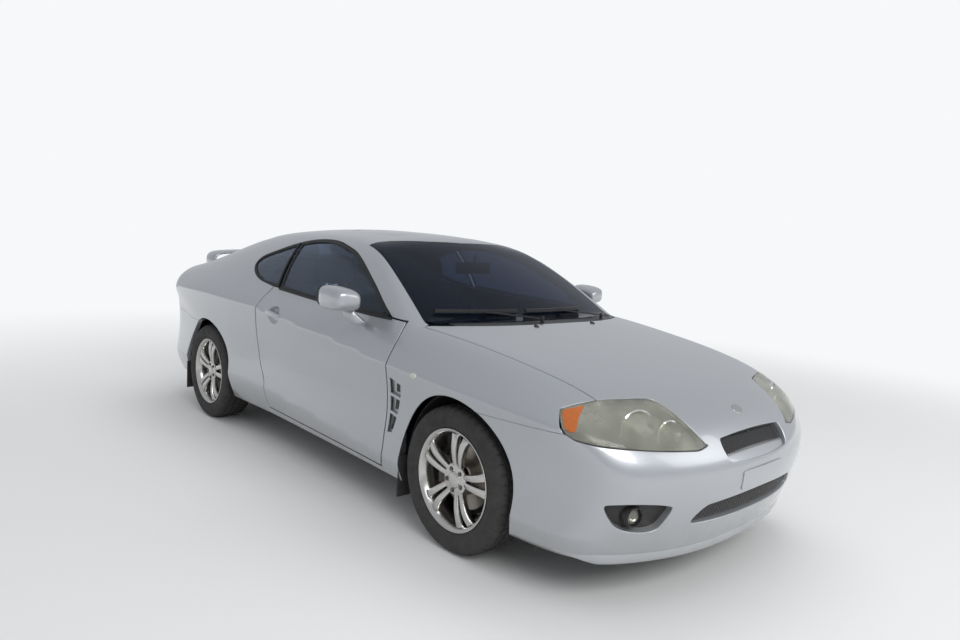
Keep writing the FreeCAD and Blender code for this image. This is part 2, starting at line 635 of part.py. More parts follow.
# Tailgate: from the roof over the glass and the deck, down the tail
GATE_LOW = 745
GATE_STOPS = [(-850, 750, 90), (-1100, 750, 90), (-1350, 750, 90), (-1600, 750, 92), (-1800, 750, 95),
              (-1900, 760, 115), (-1950, 780, 140), (-1950, 790, 160), (-1950, 720, 178)]
gate = strip((-640, -500, -250, 0, 250, 500, 640), GATE_STOPS, size("tailgate_skin"))
gate_outline = [(GATE_X - 6, 0), (GATE_X - 6, 700), (-2060, 700), (-2110, 565), (-2300, 525), (-2300, 0)]
gate = gate.common(top_prism(gate_outline)).common(top_prism([(-2400, 0), (-2400, 600)] + EDGE[1:], -GAP))
REAR_GLASS = [(-985, 0), (-990, 505), (-1300, 500), (-1640, 505), (-1700, 480), (-1720, 0)]
gate = gate.cut(Part.makeBox(600, 2400, GATE_LOW, at(-2500, -1200, 0)))
gate = gate.cut(top_prism(REAR_GLASS))
for hand in (-1, 1):
    for near in (-14, 6 + SEAT):
        y = hand * GATE_PIN.y + near
        eye = Part.makeCylinder(5, 8 - SEAT, Vector(GATE_PIN.x, y, GATE_PIN.z), Vector(0, 1, 0))
        eye = eye.fuse(Part.makeBox(12, 8 - SEAT, 9, Vector(GATE_PIN.x - 12, y, GATE_PIN.z - 5)))
        bore = Part.makeCylinder(3.5 + SEAT, 30, Vector(GATE_PIN.x, y - 10, GATE_PIN.z), Vector(0, 1, 0))
        gate = gate.fuse(eye.cut(bore))
tailgate = piece(feature("tailgate", gate))
pane = strip((-560, -400, -200, 0, 200, 400, 560), GATE_STOPS[:5], GLASS, 2)
rear_glass = piece(feature("rear_glass", pane.common(top_prism(REAR_GLASS, -SEAT))))

# Rear bumper and tail lamps
rear_band = (100, 110, 122, 135, 150, 165, 180, 195, 210, 225, 238, 250, 260)
bumper = band(-1350, rear_band, (215, 290, 370, 450, 530, 600, 675, 745), size("bumper_skin")).cut(arch_rear)
middle = Part.makeBox(500, 1030, GATE_LOW - GAP - 600, Vector(at(-2400, 0, 0).x, -515, 600))
bumper = bumper.common(side_prism(REAR_LINE, -SEAT, -1200, 1200).fuse(middle))
TIP = Vector(REAR - 520, -380, 238)
bumper = bumper.cut(Part.makeCylinder(46, 800, TIP, Vector(-1, 0, 0)))
rear_bumper = piece(feature("rear_bumper", bumper))
lamp = band(-1350, (208, 218, 228, 236), (692, 730, 770, 810, 850), size("lamp_depth"))
lamp = lamp.common(side_prism(LAMP_REAR, 0, -1200, 0))
lamp = lamp.cut(top_prism([(-1800, 0), (-1800, 640), (-2060, 622), (-2095, 606), (-2125, 565), (-2300, 525), (-2300, 0)], GAP))
tail_lamps = piece(feature("tail_lamps", pair(lamp)))

# Side glass: the door pane ahead of the division bar, the fixed quarter pane behind it
rows = []
for x in (-900, -600, -300, 0, 300, 600, 760):
    zb = belt(x)
    row = []
    for t in (0.0, 0.25, 0.5, 0.75, 1.0):
        v = math.radians(12 + 62 * t) if x < 350 else math.radians(8 + 50 * t)
        row.append((Vector(x, -250, 850), Vector(0, -math.cos(v), math.sin(v))))
    rows.append((Vector(1, 0, 0), row))
side_pane = shell(rows, GLASS, 12)
front_half = [(-404, 900), (-462, 1300), (1000, 1300), (1000, 900)]
rear_half = [(-414 - GAP, 900), (-472 - GAP, 1300), (-1200, 1300), (-1200, 900)]
side_pane = side_pane.cut(top_prism(EDGE, GAP))
sail = Part.makeBox(200, 200, 120, at(545, -900, 860))
light = side_prism(WINDOW, -GAP, -1200, -300)
lowered = light.copy()
lowered.translate(Vector(0, 0, SEAT - GAP))
light = light.fuse(lowered)
door_pane = side_pane.common(light).common(side_prism(front_half)).cut(sail)
quarter = side_pane.common(side_prism(WINDOW, -SEAT, -1200, -300)).common(side_prism(rear_half))
quarter = quarter.cut(side_prism(DOOR, GAP))
door_glass_right = piece(feature("door_glass_right", door_pane))
door_glass_left = piece(mirrored("door_glass_left", door_glass_right))
quarter_glass = piece(feature("quarter_glass", pair(quarter)))


# Running gear. Expressions for the axle stations
FRONT_X = "(Sizes.wheelbase + Sizes.rear_overhang - Sizes.front_overhang) / 2"
REAR_X = FRONT_X + " - Sizes.wheelbase"
WALL_TEXT = FRONT_X + " - Sizes.arch_radius - Sizes.liner - Sizes.seat_gap - Sizes.firewall"


def solid(kind, name, sizes, base=(0, 0, 0), turn=None):
    """A primitive with its sizes and its base bound to expressions, turned by (axis, angle)."""
    made = doc.addObject("Part::" + kind, name)
    made.Placement = Placement(Vector(), Rotation(Vector(*turn[0]), turn[1]) if turn else Rotation())
    for prop, text in sizes.items():
        made.setExpression(prop, str(text))
    for word, text in zip("xyz", base):
        made.setExpression("Placement.Base." + word, str(text))
    return made


def fused(label, parts):
    made = doc.addObject("Part::MultiFuse", label)
    made.Label = label
    made.Shapes = parts
    return made


def cut(label, base, tool):
    made = doc.addObject("Part::Cut", label)
    made.Label = label
    made.Base = base
    made.Tool = tool
    return made


FORWARD = ((0, 1, 0), 90)
BACKWARD = ((0, 1, 0), -90)
ALONG_Y = ((1, 0, 0), -90)


def ring(profile):
    """A solid turned round the Y axis from a closed profile of (y, radius)."""
    points = [Vector(0, y, r) for y, r in profile]
    return Part.Face(Part.makePolygon(points + [points[0]])).revolve(Vector(), Vector(0, 1, 0), 360)


R, W = size("tyre_radius"), size("tyre_width") / 2
RIM, RW, WALL = size("rim_radius"), size("rim_width") / 2, size("rim_wall")
SPIN, HUB, FACE = size("spindle_radius"), size("hub_radius"), size("hub_face")
DISC, DT = size("disc_radius"), size("disc_thickness")
BEAD = RIM - 15


def tyre_shape():
    """Tread, bevelled shoulders and flat sidewalls down to the rim's flanges."""
    bevel = size("tyre_bevel")
    half = [(W - bevel, R), (W, R - bevel), (W, RIM + SEAT)]
    return ring([(-y, r) for y, r in half[::-1]] + half)


def rim_shape():
    """Outer side towards +Y: barrel with flanges, hub, five pairs of spokes and the brake disc behind."""
    flange, lip = 8, 9
    barrel = BEAD - 6
    outer = [(-RW, RIM), (-RW + flange, RIM), (-RW + flange, barrel), (RW - flange, barrel), (RW - flange, RIM),
             (RW, RIM)]
    inner = [(RW, RIM - 11), (RW - lip, barrel), (RW - lip, barrel - WALL), (-RW, barrel - WALL)]
    made = ring(outer + inner)
    boss = HUB + 38
    hub = ring([(-DT + 4, SPIN + SEAT), (FACE + 12, SPIN + SEAT), (FACE + 12, 0), (FACE + 32, 0), (FACE + 32, HUB),
                (FACE + 24, HUB), (FACE + 24, boss), (4, boss), (4, DISC), (-DT + 4, DISC)])
    made = made.fuse(hub)
    spoke = size("spoke_width")
    low, tip, deep = boss - 12, barrel - 6, 26
    middle = (low + tip) / 2
    front = Part.Arc(Vector(0, FACE + deep, low), Vector(0, FACE + deep + 9, middle), Vector(0, RW - 12, tip))
    back = Part.Arc(Vector(0, RW - 12 - deep, tip), Vector(0, FACE + 6, middle), Vector(0, FACE, low))
    sides = [Part.makeLine(Vector(0, RW - 12, tip), Vector(0, RW - 12 - deep, tip)),
             Part.makeLine(Vector(0, FACE, low), Vector(0, FACE + deep, low))]
    outline = Part.Wire([front.toShape(), sides[0], back.toShape(), sides[1]])
    arm = Part.Face(outline).extrude(Vector(spoke, 0, 0))
    pieces = []
    for turn in range(5):
        for lean in (-1, 1):
            twin = arm.copy()
            twin.translate(Vector(0 if lean > 0 else -spoke, 0, 0))
            twin.rotate(Vector(), Vector(0, 1, 0), lean * 6 + turn * 72 + 8)
            pieces.append(twin)
    return made.multiFuse(pieces)


tyre = tyre_shape()
rim = rim_shape()
for name, x, hand in (("front_right", FRONT, -1), ("front_left", FRONT, 1), ("rear_right", REAR, -1),
                      ("rear_left", REAR, 1)):
    for word, shape in (("tyre_", tyre), ("rim_", rim)):
        made = shape if hand > 0 else shape.mirror(Vector(0, 0, 0), Vector(0, 1, 0))
        made = feature(word + name, made)
        made.Placement = Placement(Vector(x, hand * size("track") / 2, R), Rotation())
        piece(made)

RUN = size("running_gap")


def knuckle_shape(steered):
    """Right-hand side seen with the outer side towards +Y: upright, spindle and caliper."""
    back = -DT + 4 - RUN
    body_box = Part.makeBox(90, 34, 190, Vector(-45, back - 36, -95))
    made = body_box.fuse(Part.makeCylinder(44, 34, Vector(0, back - 36, 0), Vector(0, 1, 0)))
    made = made.fuse(Part.makeCylinder(SPIN, FACE + 12 - SEAT - back + 20, Vector(0, back - 20, 0), Vector(0, 1, 0)))
    caliper = Part.makeBox(70, 66, 130, Vector(-DISC - 22, back - 22, -65))
    slot = Part.makeBox(90, DT + 2 * RUN, 150, Vector(-DISC - RUN, 4 - DT - RUN, -75))
    link = Part.makeBox(DISC - 40, 16, 60, Vector(-DISC + 10, back - 22, -30))
    made = made.fuse(caliper.cut(slot)).fuse(link)
    if steered:
        foot = size("arm_height") + 18 + SEAT - R
        leg = Part.makeBox(40, 36, -60 - foot, Vector(-20, back - 36, foot))
        toe = Part.makeBox(40, -8 - back + 36, -DISC - RUN - foot, Vector(-20, back - 36, foot))
        made = made.fuse(leg).fuse(toe)
    return made.removeSplitter()


upright = knuckle_shape(True)
for name, hand in (("knuckle_right", -1), ("knuckle_left", 1)):
    made = upright if hand > 0 else upright.mirror(Vector(0, 0, 0), Vector(0, 1, 0))
    made = feature(name, made)
    made.Placement = Placement(Vector(FRONT, hand * size("track") / 2, R), Rotation())
    piece(made)
HT = size("track") / 2
BACK = -DT + 4 - RUN - 36
rear_upright = knuckle_shape(False)
# Rear axle: beam between the two uprights with its links and dampers
beam = Part.makeBox(110, 2 * (HT + BACK), 60, Vector(REAR - 55, -HT - BACK, R - 110))
beam = beam.cut(Part.makeBox(400, 420, 40, Vector(REAR - 200, -210, R - 112)))
rear_axle = beam
for hand in (-1, 1):
    side_upright = rear_upright if hand > 0 else rear_upright.mirror(Vector(0, 0, 0), Vector(0, 1, 0))
    side_upright = side_upright.copy()
    side_upright.translate(Vector(REAR, hand * HT, R))
    rear_axle = rear_axle.fuse(side_upright)
    damper = size("boot_floor") - size("floor_skin") - SEAT - R + 80
    rear_axle = rear_axle.fuse(Part.makeCylinder(26, damper, Vector(REAR + 10, hand * 560, R - 80), Vector(0, 0, 1)))
rear_axle = piece(feature("rear_axle", rear_axle))

# Front suspension: cradle with the lower arms, and the struts standing in their towers
ARM = size("arm_height")
RAIL_LOW = at(0, 0, 350).z
cradle = Part.makeBox(490, 660, 58, Vector(FRONT - 190, -330, ARM))
cradle = cradle.cut(Part.makeBox(200, 420, 200, Vector(FRONT + 70, -210, ARM - 50)))
struts = []
yb = HT - size("steering_offset")
for hand in (-1, 1):
    low = [(-90, 300), (90, 300), (22, 560), (18, yb + 20), (-18, yb + 20), (-22, 560)]
    points = [Vector(FRONT + x, hand * y, ARM) for x, y in low]
    cradle = cradle.fuse(Part.Face(Part.makePolygon(points + [points[0]])).extrude(Vector(0, 0, 18)))
    for x in (-190, 240):
        near = 300 if hand > 0 else -465
        cradle = cradle.fuse(Part.makeBox(60, 165, 58, Vector(FRONT + x, near, ARM)))
        near = 405 if hand > 0 else -465
        cradle = cradle.fuse(Part.makeBox(60, 60, RAIL_LOW - SEAT - ARM, Vector(FRONT + x, near, ARM)))
    strut = Part.makeCylinder(24, 410, Vector(FRONT, hand * 560, 400), Vector(0, 0, 1))
    struts.append(strut.fuse(Part.makeCylinder(58, 140, Vector(FRONT, hand * 555, 670), Vector(0, 0, 1))))
front_suspension = piece(feature("front_suspension", Part.makeCompound([cradle.removeSplitter()] + struts)))

# Front frame: two rails from the bulkhead, the bumper beam and the radiator between them
RAIL = size("rail_y")
beam = band(1300, (-34, -17, 0, 17, 34), (430, 475, 520), 40, size("bumper_skin") + 12)
frame = beam
for hand in (-1, 1):
    near = RAIL if hand > 0 else -RAIL - 60
    start = WALL_X + size("firewall") + SEAT
    frame = frame.fuse(Part.makeBox(at(2060, 0, 0).x - start, 60, 110, Vector(start, near, RAIL_LOW)))
    block = Part.makeBox(50, 60, 90, Vector(at(2030, 0, 0).x, hand * (RAIL + 30) - 30, at(0, 0, 430).z))
    frame = frame.fuse(block)
def tow_hook(x, y, z, top):
    """A plate that hangs from the frame, with a bore across the car for a rope's hook."""
    bore, plate = size("tow_bore"), size("tow_plate")
    made = Part.makeBox(3 * bore, plate, top - z, Vector(x - 1.5 * bore, y - plate / 2, z))
    made = made.fuse(drum(x, y, z, 2 * bore, plate))
    return made.cut(drum(x, y, z, bore, 2 * plate))


frame = frame.fuse(tow_hook(at(1960, 0, 0).x, RAIL + 30, 165, RAIL_LOW + 10))
radiator = Part.makeBox(40, 2 * RAIL + 2, 400, Vector(at(1960, 0, 0).x, -RAIL - 1, 220))
front_frame = piece(feature("front_frame", frame.fuse(radiator)))

# Floor with its tunnel and the step up to the boot; the bulkhead stands at its front
INNER = size("door_inner") - 1.5
LOW, PLATE = size("floor_height"), size("floor_skin")
KICK, BOOT = size("cabin_rear"), size("boot_floor")
profile = [(WALL_X - SEAT, LOW), (WALL_X - SEAT, LOW + PLATE), (KICK, LOW + PLATE), (KICK - 60, BOOT), (TAIL + 150, BOOT),
           (TAIL + 150, BOOT - PLATE), (KICK - 60 - PLATE, BOOT - PLATE), (KICK - PLATE, LOW)]
points = [Vector(x, -INNER, z) for x, z in profile]
floor = Part.Face(Part.makePolygon(points + [points[0]])).extrude(Vector(0, 2 * INNER, 0))
TW, TH = size("tunnel_width"), size("tunnel_height")
floor = floor.fuse(Part.makeBox(WALL_X - SEAT - KICK + 20, TW, TH, Vector(KICK - 20, -TW / 2, LOW + PLATE)))
floor = floor.cut(Part.makeBox(WALL_X - KICK - 40, TW - 2 * PLATE, TH, Vector(KICK + 60, -TW / 2 + PLATE, LOW - 1)))
for hand in (-1, 1):
    floor = floor.cut(arch_cutter(REAR, size("arch_radius") + size("liner") + SEAT, 400, hand * 800))
    corner = Part.makeBox(600, 300, 500, Vector(TAIL - 30, 600 if hand > 0 else -900, 200))
    floor = floor.cut(corner)
    floor = floor.cut(Part.makeBox(900, 30, 500, Vector(REAR - 800, 700 if hand > 0 else -730, 200)))
floor = floor.fuse(tow_hook(at(-2010, 0, 0).x, RAIL, 188, BOOT - PLATE + 5))
floor = piece(feature("floor", floor.removeSplitter()))
TOP_Z = straight(880, UP)
firewall = solid("Box", "firewall", {"Length": "Sizes.firewall", "Width": 2 * 640,
                 "Height": "%s - Sizes.floor_height" % TOP_Z}, (WALL_TEXT, -640, "Sizes.floor_height"))
piece(firewall)

# Wheel arch liners, all four, the front ones with the strut towers
LINER = size("liner")
liners = []
for x, inner_y, outer_y in ((REAR, 600 + SEAT, 700), (FRONT, RAIL + 60 + SEAT, 780)):
    arch, span = size("arch_radius"), outer_y - inner_y
    made = drum(x, (inner_y + outer_y) / 2, R, arch + LINER, span)
    if x > 0:
        tower = Part.makeCylinder(72, at(0, 0, 822).z - R, Vector(x, 555, R))
        made = made.fuse(tower.cut(Part.makeBox(200, 100, 900, Vector(x - 100, inner_y - 100, 0))))
    made = made.cut(drum(x, (inner_y + outer_y) / 2 + LINER, R, arch, span))
    foot = R + 90 if x > 0 else BOOT - PLATE
    made = made.cut(Part.makeBox(1000, 600, foot + R, Vector(x - 500, inner_y - 50, -R)))
    if x > 0:
        made = made.cut(Part.makeCylinder(62, 810 + SEAT - 300, Vector(x, 555, 300)))
    liners.append(pair(made))
wheel_liners = piece(feature("wheel_liners", Part.makeCompound([s for c in liners for s in c.Solids])))

# Engine and gearbox, one plain block
engine = solid("Box", "engine", {"Length": "Sizes.engine_length", "Width": "Sizes.engine_width",
               "Height": "Sizes.engine_height"},
               (FRONT_X + " - 40", "-Sizes.engine_width / 2", "Sizes.arm_height + 58 + Sizes.seat_gap"))
engine.Label = "engine"
piece(engine)

# Exhaust under the tunnel to a silencer across the tail
ER = size("exhaust_radius")
LINE_Z = LOW - ER - SEAT
BEND = REAR - 190
LINE_TEXT = "Sizes.floor_height - Sizes.exhaust_radius - Sizes.seat_gap"
BEND_TEXT = REAR_X + " - 190"
MUFFLER_TEXT = "Sizes.boot_floor - Sizes.floor_skin - Sizes.seat_gap - Sizes.silencer_radius"
MUFFLER = BOOT - PLATE - SEAT - size("silencer_radius")
rise = Vector(REAR - 480 - BEND, -90, MUFFLER - LINE_Z)
pipe = solid("Cylinder", "pipe", {"Radius": "Sizes.exhaust_radius", "Height": "900 - (%s)" % BEND_TEXT},
             (BEND_TEXT, 0, LINE_TEXT), FORWARD)
pot = solid("Cylinder", "pot", {"Radius": 62, "Height": 420}, (-300, 0, "Sizes.floor_height + 26"), FORWARD)
elbow = solid("Sphere", "elbow", {"Radius": "Sizes.exhaust_radius"}, (BEND_TEXT, 0, LINE_TEXT))
riser = solid("Cylinder", "riser", {"Radius": "Sizes.exhaust_radius", "Height": rise.Length},
              (BEND_TEXT, 0, LINE_TEXT), (Vector(0, 0, 1).cross(rise), math.degrees(Vector(0, 0, 1).getAngle(rise))))
silencer = solid("Cylinder", "silencer", {"Radius": "Sizes.silencer_radius", "Height": 560},
                 (REAR_X + " - 480", -420, MUFFLER_TEXT), ALONG_Y)
tube = solid("Cylinder", "tube", {"Radius": 36, "Height": 410}, (REAR_X + " - 510", TIP.y, TIP.z), BACKWARD)
mouth = solid("Cylinder", "mouth", {"Radius": 32, "Height": 300}, (REAR_X + " - 630", TIP.y, TIP.z), BACKWARD)
exhaust = piece(fused("exhaust", [pipe, pot, elbow, riser, silencer, cut("tip", tube, mouth)]))

# Cabin: dashboard, console, seats, steering wheel
DASH = [(870, 620), (870, 870), (700, 885), (560, 860), (510, 800), (520, 700), (600, 620)]
points = [at(x, -655, z) for x, z in DASH]
points[0].x = points[1].x = WALL_X - SEAT
dash = Part.Face(Part.makePolygon(points + [points[0]])).extrude(Vector(0, 2 * at(0, 655, 0).y, 0))
WHEEL_AT = at(330, 365, 800)
WHEEL_AT.y = size("seat_y")
DOWN = Vector(math.cos(math.radians(24)), 0, -math.sin(math.radians(24)))
dash = dash.fuse(Part.makeCylinder(34, 240, WHEEL_AT + DOWN * (45 + SEAT), DOWN))
dashboard = piece(feature("dashboard", dash))
CH = size("cushion_height")
SX, SY, SW = size("seat_x"), size("seat_y"), size("seat_width")
BASE = LOW + PLATE + SEAT
seats = []
for hand in (-1, 1):
    cushion = Part.makeBox(560, SW, CH, Vector(SX - 40, hand * SY - SW / 2, BASE + 120))
    cushion.rotate(Vector(SX, 0, BASE + 120), Vector(0, 1, 0), -6)
    rail_box = Part.makeBox(420, SW - 120, 140, Vector(SX, hand * SY - SW / 2 + 60, BASE))
    back = [(SX - 50, BASE + 190), (SX + 70, BASE + 200), (SX - 170, BASE + 780), (SX - 260, BASE + 780),
            (SX - 200, BASE + 500)]
    points = [Vector(x, hand * SY - SW / 2 + 10, z) for x, z in back]
    rest = Part.Face(Part.makePolygon(points + [points[0]])).extrude(Vector(0, SW - 20, 0))
    head = Part.makeBox(95, 260, 190, Vector(SX - 285, hand * SY - 130, BASE + 770))
    seats.append(cushion.fuse(rail_box).fuse(rest).fuse(head).removeSplitter())
front_seats = piece(feature("front_seats", Part.makeCompound(seats)))
bench = [(KICK + 260, BASE), (KICK + 300, BASE + 250), (KICK - 60, BASE + 230), (KICK - 280, BASE + 700),
         (KICK - 380, BASE + 700), (KICK - 180, BOOT + SEAT), (KICK - 60, BOOT + SEAT), (KICK + 20, BASE)]
points = [Vector(x, -590, z) for x, z in bench]
bench = Part.Face(Part.makePolygon(points + [points[0]])).extrude(Vector(0, 1180, 0))
bench = bench.cut(Part.makeBox(400, TW + 2, TH + 2, Vector(KICK - 20, -TW / 2 - 1, BASE - 2)))
rear_seat = piece(feature("rear_seat", bench))
# Centre console with the gear lever, on the tunnel
TUNNEL_TOP = "Sizes.floor_height + Sizes.floor_skin + Sizes.tunnel_height + Sizes.seat_gap"
tray = solid("Box", "tray", {"Length": 900, "Width": "Sizes.tunnel_width - 60", "Height": 90},
             (-420, "30 - Sizes.tunnel_width / 2", TUNNEL_TOP))
lever = solid("Cylinder", "lever", {"Radius": 6, "Height": 110}, (150, 0, TUNNEL_TOP + " + 80"))
knob = solid("Sphere", "knob", {"Radius": 22}, (150, 0, TUNNEL_TOP + " + 200"))
console = piece(fused("console", [tray, lever, knob]))

SR, ST = size("steering_wheel_radius"), size("steering_wheel_rim")
profile = [(SR - ST + ST * math.cos(math.radians(60 * i)), ST * math.sin(math.radians(60 * i))) for i in range(6)]
points = [Vector(r, 0, z) for r, z in profile]
hoop = Part.Face(Part.makePolygon(points + [points[0]])).revolve(Vector(), Vector(0, 0, 1), 360)
hoop = hoop.fuse(Part.makeBox(130, 110, 40, Vector(-65, -60, -45)))
for a in (0, 180, 270):
    arm = Part.makeBox(SR - ST, 34, 16, Vector(0, -17, -24))
    arm.rotate(Vector(), Vector(0, 0, 1), a)
    hoop = hoop.fuse(arm)
steering = feature("steering_wheel", hoop)
steering.Placement = Placement(WHEEL_AT, Rotation(Vector(0, 0, 1), DOWN * -1))
piece(steering)

# Door mirrors, on a foot at the front corner of each side window
housing = [(330, 930), (330, 1040), (430, 1056), (560, 1040), (640, 990), (660, 950), (600, 925)]
points = [at(x, -855, z) for x, z in housing]
shellm = Part.Face(Part.makePolygon(points + [points[0]])).extrude(Vector(0, -150, 0))
foot = Part.makeBox(90, 135, 52, at(565, -870, 917)).common(light)
mirror = shellm.fuse(foot)
mirror_right = piece(feature("mirror_right", mirror))
mirror_left = piece(mirrored("mirror_left", mirror_right))

# Rear wing over the deck on two feet
plan = [(-1850, 1062), (-1880, 1086), (-2040, 1092), (-2060, 1078), (-2000, 1066)]
points = [at(x, -560, z) for x, z in plan]
blade = Part.Face(Part.makePolygon(points + [points[0]])).extrude(Vector(0, 2 * at(0, 560, 0).y, 0))
for hand in (-1, 1):
    leg = Part.makeBox(150, 30, 90, Vector(at(-2030, 0, 0).x, hand * 530 - 15, at(0, 0, 985).z))
    blade = blade.fuse(leg)
tail_body = strip((-640, -500, -250, 0, 250, 500, 640), GATE_STOPS, 200)
tail_body.translate(Vector(0, 0, SEAT))
spoiler = piece(feature("spoiler", blade.cut(tail_body)))

# Grilles in the front openings and the fog lamps
mesh_top = band(1300, (-24, -12, 0, 12, 24), (535, 585, 635), 16, 16)
mesh_low = band(1300, (-34, -17, 0, 17, 34), (312, 350, 396), 16, 16)
top_mesh = mesh_top.common(front_prism(GRILLE, -SEAT))
low_mesh = mesh_low.common(front_prism(INTAKE, -SEAT))
grilles = piece(feature("grilles", Part.makeCompound([top_mesh, low_mesh])))
recess_panel = band(1300, (-50, -42, -34, -26), (300, 360, 430), 12, 26)
fog = recess_panel.common(front_prism(FOG, -SEAT))
fog = fog.fuse(Part.makeCylinder(36, 50, at(2005, -610, 366), Vector(1, -0.25, 0)))
fog_lamps = piece(feature("fog_lamps", pair(fog)))

# Cowl at the foot of the windscreen, with two wipers that lie on the glass
COWL = [(1012, 0), (1000, 250), (965, 420), (899, 590), (972, 590), (1035, 450), (1078, 250), (1090, 0)]
cowl_rows = (-630, -450, -250, 0, 250, 450, 630)
cowl = strip(cowl_rows, [(x, 600, 90) for x in (850, 900, 940, 970, 1000, 1030, 1060, 1110)], 10, 5)
foot_line = [(x + SEAT, y) for x, y in COWL[:4]] + [(x - GAP, y) for x, y in COWL[4:]]
cowl = cowl.common(top_prism(foot_line))


def rod(points, wide, high, lift):
    """A bar along the surface of the glass: rectangles square to the car's length, at a height above it."""
    wires = []
    for x, y in points:
        p = at(*cast(Vector(x, y, 600), (0, 0, 1))) + Vector(0, 0, lift)
        wires.append(Part.makePolygon([p + Vector(a * wide, 0, b * high) for a, b in
                                       ((0, 0), (1, 0), (1, 1), (0, 1), (0, 0))]))
    return loft(wires)


wipers = cowl
for near, far in ((-150, -610), (400, -90)):
    half_y, pivot_y = (near + far) / 2, near + 60
    along = [near + (far - near) * i / 4 for i in range(5)]
    blade = rod([(foot_of(y) - 30, y) for y in along], 12, 14, 2)
    pivot_x = foot_of(pivot_y) + 98
    arm = rod([(pivot_x - 6, pivot_y), (foot_of(half_y) - 27, half_y)], 10, 8, 8)
    top = at(*cast(Vector(pivot_x, pivot_y, 600), (0, 0, 1)))
    spindle = Part.makeCylinder(9, 42, top - Vector(0, 0, 20))
    wipers = wipers.fuse(blade).fuse(arm).fuse(spindle)
wipers = piece(feature("wipers", wipers))

# Inside mirror on its foot under the windscreen
glass_under = strip((-80, 0, 80), screen_stops, 2 + GLASS + SEAT)
MIRROR_AT = at(400, 0, 1165)
stem = Part.makeCylinder(7, 90, MIRROR_AT, Vector(0.3, 0, 1)).cut(glass_under)
stem = sorted(stem.Solids, key=lambda s: s.BoundBox.ZMin)[0]
inner_mirror = Part.makeBox(26, 240, 62, MIRROR_AT + Vector(-10, -120, -50)).fuse(stem)
inner_mirror = piece(feature("inner_mirror", inner_mirror))

# Mud flaps behind all four wheels
flaps = []
for x in (FRONT, REAR):
    flaps.append(pair(Part.makeBox(6, 125, 190, Vector(x - size("arch_radius") + SEAT, -at(0, 845, 0).y, 130))))
mud_flaps = piece(feature("mud_flaps", Part.makeCompound([s for c in flaps for s in c.Solids])))

doc.recompute()
bad = [o.Label for o in doc.Objects if "Invalid" in o.State or "Error" in o.State]
for made in PIECES:
    if made.Shape.isNull() or not made.Shape.isValid() or not made.Shape.Solids:
        bad.append(made.Label)
if bad:
    raise RuntimeError("these pieces failed: " + ", ".join(bad))
os.makedirs("parts", exist_ok=True)
for made in PIECES:
    made.Shape.exportStep("parts/%s.step" % made.Label)
print(len(PIECES), "pieces written")
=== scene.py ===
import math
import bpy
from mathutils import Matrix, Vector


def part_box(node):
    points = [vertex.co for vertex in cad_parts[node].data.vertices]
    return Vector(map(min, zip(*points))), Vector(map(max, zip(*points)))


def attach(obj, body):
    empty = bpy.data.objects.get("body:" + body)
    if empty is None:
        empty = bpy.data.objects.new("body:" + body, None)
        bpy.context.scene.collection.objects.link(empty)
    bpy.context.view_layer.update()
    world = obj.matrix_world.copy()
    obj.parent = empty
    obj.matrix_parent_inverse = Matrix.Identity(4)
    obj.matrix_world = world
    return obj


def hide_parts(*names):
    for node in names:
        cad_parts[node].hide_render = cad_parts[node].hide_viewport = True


bl_info = {
    "name": "Liftback Coupe",
    "version": (1, 0, 0),
    "blender": (4, 5, 0),
    "location": "3D View > Sidebar > Coupe",
    "description": "Dresses the packed parts of a two-door liftback coupe in panels, glass, lamps and trim",
    "category": "Object",
}

import bmesh
import bpy
import numpy as np
from bpy.props import FloatProperty, FloatVectorProperty, PointerProperty
from mathutils import Matrix, Vector
from mathutils.geometry import delaunay_2d_cdt

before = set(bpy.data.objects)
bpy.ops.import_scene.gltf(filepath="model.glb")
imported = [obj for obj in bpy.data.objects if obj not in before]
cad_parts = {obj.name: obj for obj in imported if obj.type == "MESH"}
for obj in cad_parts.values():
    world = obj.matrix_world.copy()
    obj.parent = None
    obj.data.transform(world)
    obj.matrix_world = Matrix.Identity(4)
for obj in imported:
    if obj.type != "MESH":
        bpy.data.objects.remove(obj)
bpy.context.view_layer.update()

# Millimetres below; meshes are written in metres
MM = 0.001
WHEEL_X = (1262.5, -1267.5)
WHEEL_Z = 313.0
TRACK = 745.0
ARCH = 358.0
SILL = 205.0
SEAT_Y = 365.0
HANDS = (("right", False), ("left", True))


class Curve:
    """Natural cubic spline through (x, value) knots, straight beyond its ends."""

    def __init__(self, knots):
        self.x, self.v = np.array(knots, float).T
        n = len(self.x)
        h = np.diff(self.x)
        a = np.eye(n)
        d = np.zeros(n)
        for i in range(1, n - 1):
            a[i, i - 1:i + 2] = h[i - 1], 2 * (h[i - 1] + h[i]), h[i]
            d[i] = 6 * ((self.v[i + 1] - self.v[i]) / h[i] - (self.v[i] - self.v[i - 1]) / h[i - 1])
        self.m = np.linalg.solve(a, d)

    def __call__(self, x):
        x = np.asarray(x, float)
        c = np.clip(x, self.x[0], self.x[-1])
        i = np.clip(np.searchsorted(self.x, c) - 1, 0, len(self.x) - 2)
        h = self.x[i + 1] - self.x[i]
        t = (c - self.x[i]) / h
        s = 1 - t
        m0, m1, v0, v1 = self.m[i], self.m[i + 1], self.v[i], self.v[i + 1]
        value = v0 * s + v1 * t + h * h / 6 * ((s ** 3 - s) * m0 + (t ** 3 - t) * m1)
        slope = (v1 - v0) / h + h / 6 * ((1 - 3 * s * s) * m0 + (3 * t * t - 1) * m1)
        return value + slope * (x - c)


